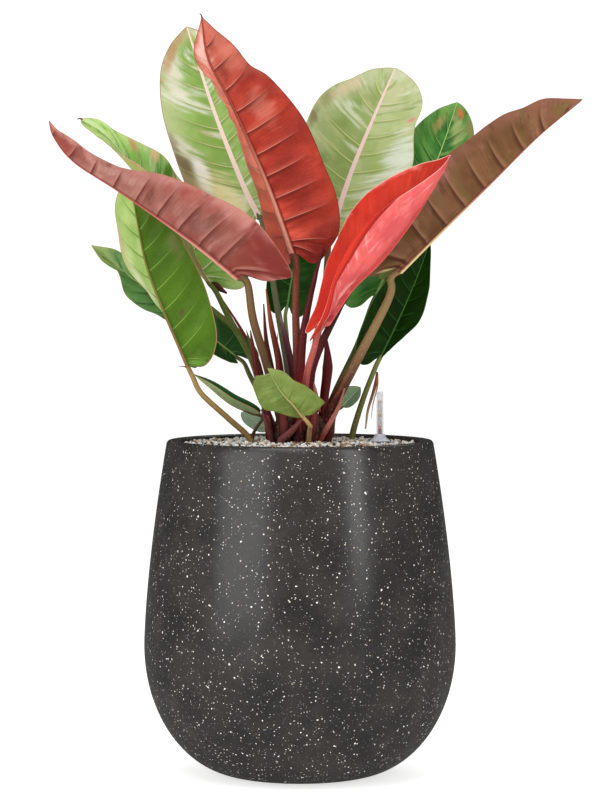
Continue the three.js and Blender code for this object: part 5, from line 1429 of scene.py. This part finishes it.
def terrazzo_finish():
    material, t, shader = new_material("terrazzo")
    place = t.place()
    cloud = t.noise(place, 22.0, 4.0)
    grain = t.noise(place, 1400.0, 2.0)
    colour = t.mix(t.ramp(cloud, 0.3, 0.7), "#2a2826", "#383532")
    colour = t.mix(t.times(t.ramp(grain, 0.5, 0.72), 0.35), colour, "#5a5752")
    for spacing, share, size, first, second in CHIP_LAYERS:
        group = t.add("ShaderNodeGroup", {"Spacing": spacing, "Share": share, "Size": size}, node_tree=CHIPS)
        tone = t.mix(t.ramp(group.outputs["Tone"], 0.3, 0.9), first, second)
        colour = t.mix(group.outputs["Chip"], colour, tone)
    pits = t.add("ShaderNodeGroup", {"Spacing": 2.7, "Share": 0.1, "Size": 0.17}, node_tree=CHIPS)
    # The pits are painted near black: painted shade in the small holes.
    colour = t.mix(pits.outputs["Chip"], colour, "#0a0a0b")
    satin = t.math("MULTIPLY_ADD", pits.outputs["Chip"], 0.3, t.math("MULTIPLY_ADD", cloud, 0.14, 0.2))
    height = t.math("SUBTRACT", t.times(grain, 0.15), pits.outputs["Chip"])
    t.surface(shader, colour, satin, height, 0.25, 0.0002, 0.45)
    return material


pot.data.materials.append(terrazzo_finish())
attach(pot, "root")
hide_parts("pot")
print("terrazzo ready")

# %% [markdown]
# ## The bed of gravel
# Below the loose stones lies the fill of the pot, which keeps the shape that the construction gives it: the
# pot's inside with a low, uneven mound on top. The top is set a little lower here, so that the stones that
# are laid on it reach the height of the mound.

# %% The fill
MOUND_TOP, MOUND_EDGE = 387.0, 383.0
FILL_SIDE = 372.0
STONE_SINK = 2.6
BED_GAP = 0.3


def gravel_height(x, y):
    reach = np.minimum(1.0, np.hypot(x, y) / (RIM - WALL))
    mound = MOUND_TOP + (MOUND_EDGE - MOUND_TOP) * reach**2
    return mound + 1.8 * np.sin(0.31 * x + 1.3) * np.sin(0.27 * y + 0.11 * x - 0.4)


bed_edge = RIM - WALL - BED_GAP
bed_bottom = WALL + BED_GAP
bed_profile = [(0.0, bed_bottom)]
bed_profile += [(inside_radius(h) - BED_GAP, max(h, bed_bottom)) for h in inside_heights() if h < FILL_SIDE]
bed_profile += [(float(r), MOUND_EDGE) for r in np.linspace(bed_edge, 3.0, 40)] + [(0.0, MOUND_EDGE)]
bed = lathe_piece("gravel_bed", bed_profile, sides=120)
for vertex in bed.data.vertices:
    if vertex.co.z > (MOUND_EDGE - STONE_SINK) * MM:
        vertex.co.z = (gravel_height(vertex.co.x / MM, vertex.co.y / MM) - STONE_SINK) * MM


def fines_finish():
    material, t, shader = new_material("gravel_fines")
    place = t.place()
    grain = t.noise(place, 420.0, 4.0, 0.7)
    colour = t.mix(t.ramp(grain, 0.35, 0.65), "#4c443b", "#8f8474")
    group = t.add("ShaderNodeGroup", {"Spacing": 2.6, "Share": 0.5, "Size": 0.36}, node_tree=CHIPS)
    tone = t.mix(group.outputs["Tone"], "#b9ad9a", "#5f564c")
    colour = t.mix(group.outputs["Chip"], colour, tone)
    t.surface(shader, colour, t.math("MULTIPLY_ADD", grain, 0.2, 0.75), grain, 0.8, 0.0012)
    return material


bed.data.materials.append(fines_finish())
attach(bed, "root")
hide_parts("substrate")
print("bed faces:", len(bed.data.polygons))

# %% [markdown]
# ## Loose stones
# The stones repeat hundreds of times, so Geometry Nodes lay them. The tree spreads points over the mound with
# a smallest distance between them, puts one of three angular pebbles on each, and turns and sizes each by a
# fixed seed. Each stone draws a number of its own, from which its finish takes the colour.

# %% Geometry Nodes tree for the stones
def build_stone_tree():
    tree = bpy.data.node_groups.new("lay stones", "GeometryNodeTree")
    sockets = dict(Geometry="Geometry", Spacing="Float", Density="Float", Smallest="Float", Largest="Float",
                   Seed="Int", Finish="Material")
    for label, kind in sockets.items():
        tree.interface.new_socket(label, in_out="INPUT", socket_type=f"NodeSocket{kind}")
    tree.interface.new_socket("Geometry", in_out="OUTPUT", socket_type="NodeSocketGeometry")
    t = Tree(tree.nodes, tree.links)
    given = tree.nodes.new("NodeGroupInput").outputs
    points = t.add("GeometryNodeDistributePointsOnFaces", {
        "Mesh": given["Geometry"], "Distance Min": given["Spacing"], "Density Max": given["Density"],
        "Seed": given["Seed"],
    }, distribute_method="POISSON")
    shapes = t.add("GeometryNodeGeometryToInstance")
    for kind, squeeze in enumerate(((1.0, 0.8, 0.62), (0.8, 1.0, 0.75), (1.0, 0.66, 0.8))):
        ball = t.add("GeometryNodeMeshIcoSphere", {"Radius": 1.0, "Subdivisions": 2})
        here = t.add("GeometryNodeInputPosition").outputs[0]
        rough = t.add("ShaderNodeTexNoise", {
            "Vector": here, "Scale": 0.9 + 0.25 * kind, "Detail": 1.0, "W": 3.1 * kind,
        }, noise_dimensions="4D")
        centred = t.vector("SUBTRACT", rough.outputs["Color"], (0.5, 0.5, 0.5))
        shape = t.vector("MULTIPLY", t.vector("MULTIPLY_ADD", centred, (1.5, 1.5, 1.5), here), squeeze)
        moved = t.add("GeometryNodeSetPosition", {"Geometry": ball.outputs["Mesh"], "Position": shape})
        t.links.new(moved.outputs[0], shapes.inputs[0])
    pick = t.add("FunctionNodeRandomValue", {"Seed": 3, 4: 0, 5: 2}, data_type="INT")
    turn = t.add("FunctionNodeRandomValue", {"Seed": 5, 1: (6.28, 6.28, 6.28)}, data_type="FLOAT_VECTOR")
    size = t.add("FunctionNodeRandomValue", {"Seed": 9, 2: given["Smallest"], 3: given["Largest"]},
                 data_type="FLOAT")
    laid = t.add("GeometryNodeInstanceOnPoints", {
        "Points": points.outputs["Points"], "Instance": shapes.outputs[0], "Pick Instance": True,
        "Instance Index": pick.outputs[2], "Rotation": turn.outputs[0], "Scale": size.outputs[1],
    })
    draw = t.add("FunctionNodeRandomValue", {"Seed": 11}, data_type="FLOAT")
    marked = t.add("GeometryNodeStoreNamedAttribute", {
        "Geometry": laid.outputs[0], "Name": "draw", "Value": draw.outputs[1],
    }, domain="INSTANCE", data_type="FLOAT")
    real = t.add("GeometryNodeRealizeInstances", {0: marked.outputs[0]})
    faceted = t.add("GeometryNodeSetShadeSmooth", {"Geometry": real.outputs[0], "Shade Smooth": False})
    finished = t.add("GeometryNodeSetMaterial", {"Geometry": faceted.outputs[0], "Material": given["Finish"]})
    t.links.new(finished.outputs[0], t.add("NodeGroupOutput").inputs[0])
    return tree


STONE_TREE = build_stone_tree()
print("stone tree:", len(STONE_TREE.nodes), "nodes")

# %% [markdown]
# ## The stones' colours
# The gravel is a mix: mostly cream and white, some tan and grey, a few nearly black. A colour ramp with hard
# steps turns each stone's own number into one of these, and fine noise mottles it.

# %% Stone finish and laying
def stone_finish():
    material, t, shader = new_material("loose_stone")
    draw = t.add("ShaderNodeAttribute", attribute_name="draw", attribute_type="GEOMETRY").outputs["Fac"]
    steps = t.add("ShaderNodeValToRGB", {0: draw})
    steps.color_ramp.interpolation = "CONSTANT"
    tones = [(0.0, "#dccfbc"), (0.2, "#f2f0ea"), (0.42, "#c4ab90"), (0.52, "#cbd9e2"), (0.66, "#a07d62"),
             (0.74, "#6f5a4c"), (0.82, "#2c2725"), (0.9, "#f7f5f1")]
    ramp = steps.color_ramp.elements
    ramp[0].color = linear(tones[0][1])
    ramp[1].position, ramp[1].color = tones[1][0], linear(tones[1][1])
    for position, tone in tones[2:]:
        ramp.new(position).color = linear(tone)
    place = t.place()
    mottle = t.noise(place, 700.0, 4.0, 0.7)
    colour = t.mix(t.times(t.ramp(mottle, 0.45, 0.7), 0.45), steps.outputs[0], "#7c7268")
    t.surface(shader, colour, t.math("MULTIPLY_ADD", mottle, 0.3, 0.5), mottle, 0.4, 0.0004)
    return material


STONE_LIFT = 0.6


def stone_ground(edge=135.5, rings=30, sectors=72):
    """The patch of the mound that stones are laid on."""
    points, faces = [(0.0, 0.0, gravel_height(0.0, 0.0) - STONE_SINK + STONE_LIFT)], []
    for radius in np.linspace(edge / rings, edge, rings):
        for k in range(sectors):
            angle = k / sectors * 2 * math.pi
            x, y = radius * math.cos(angle), radius * math.sin(angle)
            points.append((x, y, gravel_height(x, y) - STONE_SINK + STONE_LIFT))
    for k in range(sectors):
        faces.append((0, 1 + k, 1 + (k + 1) % sectors))
    for ring in range(rings - 1):
        low, high = 1 + ring * sectors, 1 + (ring + 1) * sectors
        for k in range(sectors):
            m = (k + 1) % sectors
            faces.append((low + k, high + k, high + m, low + m))
    return mesh_object("stone_ground", np.array(points) * MM, faces)


def set_input(modifier, label, value):
    """Sets a modifier's input by the identifier behind its label."""
    for item in modifier.node_group.interface.items_tree:
        if item.item_type == "SOCKET" and item.in_out == "INPUT" and item.name == label:
            modifier[item.identifier] = value


def grown(ground, tree, name, **values):
    """The plain mesh that a Geometry Nodes tree grows on a ground, as an object of its own."""
    modifier = ground.modifiers.new("grow", "NODES")
    modifier.node_group = tree
    for label, value in values.items():
        set_input(modifier, label, value)
    evaluated = ground.evaluated_get(bpy.context.evaluated_depsgraph_get())
    mesh = bpy.data.meshes.new_from_object(evaluated)
    mesh.name = name
    bpy.data.objects.remove(ground)
    return linked(name, mesh)


stones = grown(stone_ground(), STONE_TREE, "loose_stones", Spacing=0.0047, Density=90000.0, Smallest=0.0020,
               Largest=0.0033, Seed=7, Finish=stone_finish())
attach(stones, "root")
print("stone faces:", len(stones.data.polygons))

# %% [markdown]
# ## The crown
# At the gravel all stalks leave one short thick stem. Its skin is brown and knobbly with the scars of old
# leaves. The profile is the one of the construction, lumpy in the same places, with finer knobs on top.

# %% Crown
CROWN_PROFILE = [(0, 0), (14, 2), (30, 14), (39, 38), (39, 63), (33, 74), (23, 79), (0, 79)]
CROWN_BOTTOM = 322.0


def crown_piece(rings=64, sides=110):
    outline = np.array(CROWN_PROFILE, float)
    run = np.concatenate([[0], np.cumsum(np.linalg.norm(np.diff(outline, axis=0), axis=1))])
    spots = np.linspace(0, run[-1], rings)
    profile = zip(np.interp(spots, run, outline[:, 0]), np.interp(spots, run, outline[:, 1]) + CROWN_BOTTOM)
    made = lathe_piece("crown_stem", list(profile), sides=sides)
    for vertex in made.data.vertices:
        x, y, z = (value / MM for value in vertex.co)
        reach = math.hypot(x, y)
        if reach < 0.5:
            continue
        angle = math.atan2(y, x)
        lump = 2.2 * min(1.0, reach / 39) * math.sin(3 * angle + (z - CROWN_BOTTOM) / 16)
        knob = 1.5 * noise.noise(Vector((x / 7, y / 7, z / 5))) - 0.6
        scale = (reach + lump + knob) / reach
        vertex.co = (x * scale * MM, y * scale * MM, (z - 0.6 + 0.5 * knob) * MM)
    return made


def crown_finish():
    material, t, shader = new_material("crown_bark")
    place = t.place()
    knobs = t.noise(place, 160.0, 5.0, 0.65)
    flat = t.add("ShaderNodeMapping", {"Vector": place, "Scale": (1.0, 1.0, 4.0)})
    scars = t.noise(flat.outputs[0], 60.0, 3.0)
    colour = t.mix(t.ramp(knobs, 0.35, 0.68), "#2e1c16", "#6a4432")
    colour = t.mix(t.times(t.ramp(scars, 0.56, 0.7), 0.7), colour, "#8f6a4a")
    t.surface(shader, colour, t.math("MULTIPLY_ADD", knobs, 0.3, 0.55), knobs, 0.8, 0.0012)
    return material


crown = crown_piece()
CROWN_FINISH = crown_finish()
crown.data.materials.append(CROWN_FINISH)
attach(crown, "root")
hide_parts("crown")
print("crown faces:", len(crown.data.polygons))

# %% [markdown]
# ## Small growth
# A grown plant has more than leaves and stalks: dry strips of old sheath hang beside the stalks, blades end
# in a dark hair, a blade's foot may carry a small brown ear, a spike and a thread are still to open, and
# scraps of old sheaths stand round the crown. All of them are round or flattened stems too, so the tube
# helper makes them from short paths. Each entry has its colours, its slot, how flat it is and its stems, and
# each stem has its path, its radii and how far it wanders to the side.

# %% Strips, hairs, ears and young shoots
def ribbon(thickness):
    """A swell that flattens a stem to a strip of the given share of its width."""
    def swell(angle, share):
        return thickness / np.sqrt((thickness * np.cos(angle)) ** 2 + np.sin(angle) ** 2) + 0 * share
    return swell


DRY = stem("#8f5a3a", "#e0b592", "#9a6444", "#ecc9a8", rough=0.6, ramp_mm=(15, 70))
HUSK = stem("#ddb59c", "#ecc8b4", "#c99680", "#f6dccb", rough=0.6)
MAROON = stem("#8a3a34", "#5c2020", "#3a1414", "#8a4a40", ramp_mm=(0, 4))
SMALL_GROWTH = {
    "dry_strips": (
        DRY, "sheath", 0.18, [
            ([(91, 79, 463), (88, 75, 448), (84, 69, 430), (79, 61, 413), (76, 55, 397)],
             [1.2, 2.2, 1.9, 1.5, 0.9], 0.8),
        ],
    ),
    "pale_strip": (
        HUSK, "sheath", 0.25, [
            ([(92, 79, 462), (91, 76, 446), (87, 70, 428), (83.6, 62, 408)], [0.6, 1.0, 0.8, 0.3], 0.5),
        ],
    ),
    "blade_hairs": (
        MAROON, "sheath", 1.0, [
            ([(-255, 66, 759.6), (-258.6, 66.4, 760.6), (-261.6, 67, 759.6)], [1.3, 0.8, 0.3], 0.0),
            ([(-129, 7.6, 468.4), (-134.4, 9.8, 471.6), (-141, 11, 471)], [1.0, 0.6, 0.25], 0.0),
            ([(-109.4, -88, 864.6), (-110.6, -88, 867.6), (-112.4, -88, 869.6)], [1.1, 0.7, 0.25], 0.0),
        ],
    ),
    "blade_ears": (
        stem("#4c4422", "#5f2f22", "#2f2a16", "#7a6a3c", ramp_mm=(2, 14)), "stalk", 0.4, [
            ([(-103, 20, 568), (-98, 18.4, 566), (-92, 17, 561), (-84.5, 16, 556)], [1.6, 3.6, 3.4, 1.0],
             0.0),
            ([(-127, -31, 478), (-120, -30.4, 479), (-114, -29.6, 477), (-110, -29, 473.6)],
             [1.4, 3.0, 2.6, 0.8], 0.0),
        ],
    ),
    "young_spike": (
        stem("#3c5a20", "#17401c", "#274f20", "#4f7a3c"), "stalk", 0.5, [
            ([(-50, -15.6, 470), (-54, -16, 490), (-58.4, -15, 503), (-61.6, -14, 514)],
             [2.2, 2.8, 1.8, 0.3], 0.0),
        ],
    ),
    "pink_stub": (
        stem("#a8504a", "#c9786c", "#8f3f3c", "#e0a598", ramp_mm=(8, 20)), "sheath", 0.7, [
            ([(22, -19, 420), (18.4, -20, 440), (15.4, -20.6, 451), (13.4, -21, 459)], [2.2, 2.6, 2.3, 1.2],
             0.0),
        ],
    ),
    "sheath_edge": (
        stem("#7c2a26", "#c07a6a", "#9c4a40", "#d9a090", ramp_mm=(6, 34)), "sheath", 0.45, [
            ([(20.5, -33, 384), (29, -31, 399), (43, -32, 424), (51, -40, 448)], [3.4, 3.6, 2.6, 0.8], 0.0),
        ],
    ),
    "crown_scraps": (
        stem("#4a1c18", "#7a2c26", "#3a1512", "#a5604f", ramp_mm=(4, 30)), "sheath", 0.4, [
            ([(-17, -36, 384), (-18, -38, 402), (-20, -35, 420), (-19, -30, 433)], [7.0, 6.4, 4.4, 0.8],
             0.0),
            ([(10, -37, 384), (13, -38, 400), (16, -34, 416), (15, -29, 430)], [7.4, 6.6, 4.2, 0.8], 0.0),
            ([(-4, -38, 385), (-3, -39, 398), (-1, -37, 410), (2, -33, 421)], [6.4, 6.0, 4.0, 0.8], 0.0),
            ([(29, -24, 384), (33, -25, 398), (35, -22, 412), (33, -17, 424)], [6.6, 6.0, 3.6, 0.8], 0.0),
            ([(-33, -18, 384), (-35, -18, 400), (-37, -15, 416), (-35, -11, 428)], [6.0, 5.6, 3.6, 0.8],
             0.0),
        ],
    ),
    "green_thread": (
        stem("#5f7a30", "#86a84a", "#4c6a26", "#a9c070"), "stalk", 0.8, [
            ([(-25, 14, 440), (-27.6, 12, 484), (-26.6, 12, 497), (-25.8, 12, 510)], [1.4, 1.4, 1.0, 0.3],
             0.0),
        ],
    ),
}
for name, (colours, slot_name, thickness, stems) in SMALL_GROWTH.items():
    finish = stem_finish(name, speck_share=0.2, **colours)
    parts = []
    for path, radii, wander in stems:
        part = tube_piece(f"{name}_part", path, radii, steps=28, sides=12, swell=ribbon(thickness),
                          wander=wander)
        part.data.materials.append(finish)
        parts.append(part)
    piece = join_pieces(name, parts)
    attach(piece, "root")
print("small growth:", len(SMALL_GROWTH), "pieces")

# %% [markdown]
# ## Stubs and fibres of the crown
# Where old leaves have been shed, knobbly stubs are left on the crown, and dry fibres stick out between them.
# The stubs are placed one by one between the stalks. The fibres are scattered round the crown by a fixed
# seed.

# %% Crown stubs and fibres
STUBS = [
    (-23, -25, 417, 6.4), (-13, -31, 421, 6.0), (-2, -33, 414, 5.6), (9, -30, 420, 6.2),
    (17, -25, 424, 6.6), (25, -20, 415, 6.4), (-30, -14, 411, 6.0), (30, -6, 409, 5.4),
    (-27, 2, 412, 5.8), (-12, 26, 414, 6.0), (8, 29, 417, 6.0), (24, 20, 411, 5.6),
    (2, 8, 428, 7.0), (-8, -8, 432, 6.6), (12, -4, 426, 6.4),
]
STUB_FOOT = 386.0


def knobbly(seed):
    """A swell with lumps and rings, different for each seed."""
    def swell(angle, share):
        lumps = 0.16 * np.sin(3 * angle + seed) * np.cos(5 * share + 2 * seed)
        return 1 + lumps + 0.08 * np.sin(7 * angle - 2 * seed) + 0.1 * np.sin(26 * share + seed)
    return swell


parts = []
for seed, (x, y, top, radius) in enumerate(STUBS):
    middle = (STUB_FOOT + top) / 2
    lean = 1.0 + 0.12 * math.sin(2.3 * seed)
    part = tube_piece("stub", [(x * 0.9, y * 0.9, STUB_FOOT), (x, y, middle), (x * lean, y * lean, top)],
                      [radius, radius * 1.05, radius * 0.85, radius * 0.62, radius * 0.2], steps=26, sides=18,
                      swell=knobbly(seed))
    part.data.materials.append(CROWN_FINISH)
    parts.append(part)
stubs = join_pieces("crown_stubs", parts)
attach(stubs, "root")

draw = np.random.RandomState(12)
fibre_finish = stem_finish("crown_fibre", "#5a3422", "#a5795a", "#3f2418", "#c9a080", ramp_mm=(4, 20),
                           rough=0.6)
FIBRES, FIBRE_RING = 70, 26
parts = []
for _ in range(FIBRES):
    turn, lift, length = draw.uniform(0, 2 * math.pi), draw.uniform(387, 396), draw.uniform(9, 19)
    start = np.array([FIBRE_RING * math.cos(turn), FIBRE_RING * math.sin(turn), lift])
    side = turn + draw.uniform(-0.7, 0.7)
    way = np.array([math.cos(side), math.sin(side), draw.uniform(-0.2, 0.7)])
    bend = np.array([0, 0, -draw.uniform(2, 7)])
    part = tube_piece("fibre", [start, start + way * length * 0.5, start + way * length + bend],
                      [0.7, 0.55, 0.2], steps=8, sides=5, wander=draw.uniform(0, 0.8))
    part.data.materials.append(fibre_finish)
    parts.append(part)
fibres = join_pieces("crown_fibres", parts)
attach(fibres, "root")
print("stubs:", len(STUBS), "fibre faces:", len(fibres.data.polygons))

# %% [markdown]
# ## The water gauge
# A clear tube stands on a bell-shaped collar at the edge of the pot. A red float in it shows how much water
# is left, against two yellow marks on a white strip. The collar, tube and float are turned finely. The marks
# are only paint, so they belong to the strip's finish. The shaft stays as the construction has it.

# %% Gauge
GAUGE_PLACE = (92.0, -10.0)
GAUGE_GROUND = 384.5
COLLAR = [(0, 0), (12.6, 0), (13, 0.4), (13, 1.7), (12.6, 2.1), (11.4, 2.8), (9.8, 3.9), (8.2, 5.1),
          (7.1, 6.4), (6.5, 7.8), (6.1, 9.2), (5.7, 9.9), (5.2, 10), (0, 10)]
TUBE_FOOT, TUBE_TOP = 10.3, 59.0


def gauge_profile(points):
    return [(radius, GAUGE_GROUND + height) for radius, height in points]


def plastic_finish(name, ground, second, rough=0.3, alpha=1.0, marks=(), gloss=0.5, bump=0.15):
    """Moulded plastic with faint clouding. marks are bands of colour between two heights in millimetres."""
    material, t, shader = new_material(name)
    place = t.place()
    cloud = t.noise(place, 300.0, 3.0)
    colour = t.mix(t.ramp(cloud, 0.35, 0.65), ground, second)
    level = t.times(t.add("ShaderNodeSeparateXYZ", {0: place}).outputs["Z"], 1000.0)
    for tint, low, high in marks:
        inside_mark = t.times(t.math("GREATER_THAN", level, low), t.math("LESS_THAN", level, high))
        colour = t.mix(inside_mark, colour, tint)
    t.surface(shader, colour, t.math("MULTIPLY_ADD", cloud, 0.12, rough - 0.05), cloud, bump, 0.0002, gloss)
    shader.inputs["Alpha"].default_value = alpha
    return material


collar = lathe_piece("gauge_bell", gauge_profile(COLLAR), sides=64, middle=GAUGE_PLACE)
collar_finish = plastic_finish("gauge_bell", "#b9bcc6", "#c9ccd4", marks=[("#5c5f6a", 380.0, 386.4)])
collar.data.materials.append(collar_finish)
tube_ring = [(3.3, TUBE_FOOT), (4.2, TUBE_FOOT), (4.2, TUBE_TOP - 1), (3.9, TUBE_TOP - 0.3), (3.2, TUBE_TOP),
             (0, TUBE_TOP), (0, TUBE_TOP - 0.9), (3.3, TUBE_TOP - 0.9)]
tube = lathe_piece("gauge_sight", gauge_profile(tube_ring), sides=40, middle=GAUGE_PLACE, closed_ring=True)
tube_finish = plastic_finish("gauge_sight", "#c6c8cc", "#d2d4d8", rough=0.6, alpha=0.22, gloss=0.04, bump=0.0)
tube.data.materials.append(tube_finish)
bob_ring = [(0, 10.3), (1.4, 10.3), (1.6, 10.6), (1.6, 18.2), (1.2, 19.0), (0.6, 19.3), (0, 19.3)]
bob = lathe_piece("gauge_bob", gauge_profile(bob_ring), sides=28, middle=(92.0, -11.1))
bob_finish = plastic_finish("gauge_bob", "#8f1a1c", "#a32124", marks=[("#f08a3c", 400.5, 410.0)])
bob.data.materials.append(bob_finish)
strip_box = np.array([(x, y, z) for z in (394.8, 432.8) for y in (-8.7, -8.1) for x in (89.7, 94.3)])
strip_faces = [(0, 2, 3, 1), (4, 5, 7, 6), (0, 1, 5, 4), (2, 6, 7, 3), (0, 4, 6, 2), (1, 3, 7, 5)]
strip = mesh_object("gauge_strip", strip_box * MM, strip_faces)
bevel = strip.modifiers.new("round", "BEVEL")
bevel.width, bevel.segments = 0.0002, 2
YELLOW = "#d9a51e"
bars = [(YELLOW, low, high) for low, high in ((430.0, 430.8), (431.4, 432.6), (414.0, 414.8), (415.4, 417.0))]
strip.data.materials.append(plastic_finish("gauge_strip", "#e9e9e6", "#dcdcd8", marks=bars))
for part, node_name, slot_name in ((collar, "gauge_collar", "collar"), (tube, "gauge_tube", "clear_tube"),
                                   (bob, "gauge_float", "float"), (strip, "gauge_scale", "scale")):
    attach(part, "root")
    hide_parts(node_name)
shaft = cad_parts["gauge_shaft"]
shaft.data.materials.clear()
shaft.data.materials.append(plastic_finish("gauge_shaft", "#2b2b2d", "#3a3a3c", rough=0.5))
print("gauge pieces: 5")

# %% [markdown]
# ## The paper's finish
# The floor is one sheet of nearly white paper. It is very slightly uneven, and gives off some light, so that
# it stays white behind the plant as in the photograph. The pot mirrors it darker than it is, as if black
# screens stood beside the camera.

# %% Paper finish
PAPER_GLOW = 0.66
PAPER_MIRRORED = "#5c5b5a"


def paper_finish():
    material, t, shader = new_material("studio_paper")
    place = t.place()
    cloud = t.noise(place, 1.3, 2.0)
    mirrored = t.add("ShaderNodeLightPath").outputs["Is Glossy Ray"]
    colour = t.mix(mirrored, t.mix(cloud, "#f6f6f5", "#fbfbfa"), PAPER_MIRRORED)
    t.put(shader.inputs["Base Color"], colour)
    t.put(shader.inputs["Roughness"], t.math("MULTIPLY_ADD", cloud, 0.1, 0.85))
    t.put(shader.inputs["Emission Color"], t.mix(mirrored, "#ffffff", PAPER_MIRRORED))
    shader.inputs["Emission Strength"].default_value = PAPER_GLOW
    return material


paper_floor.data.materials.append(paper_finish())
print("paper ready")
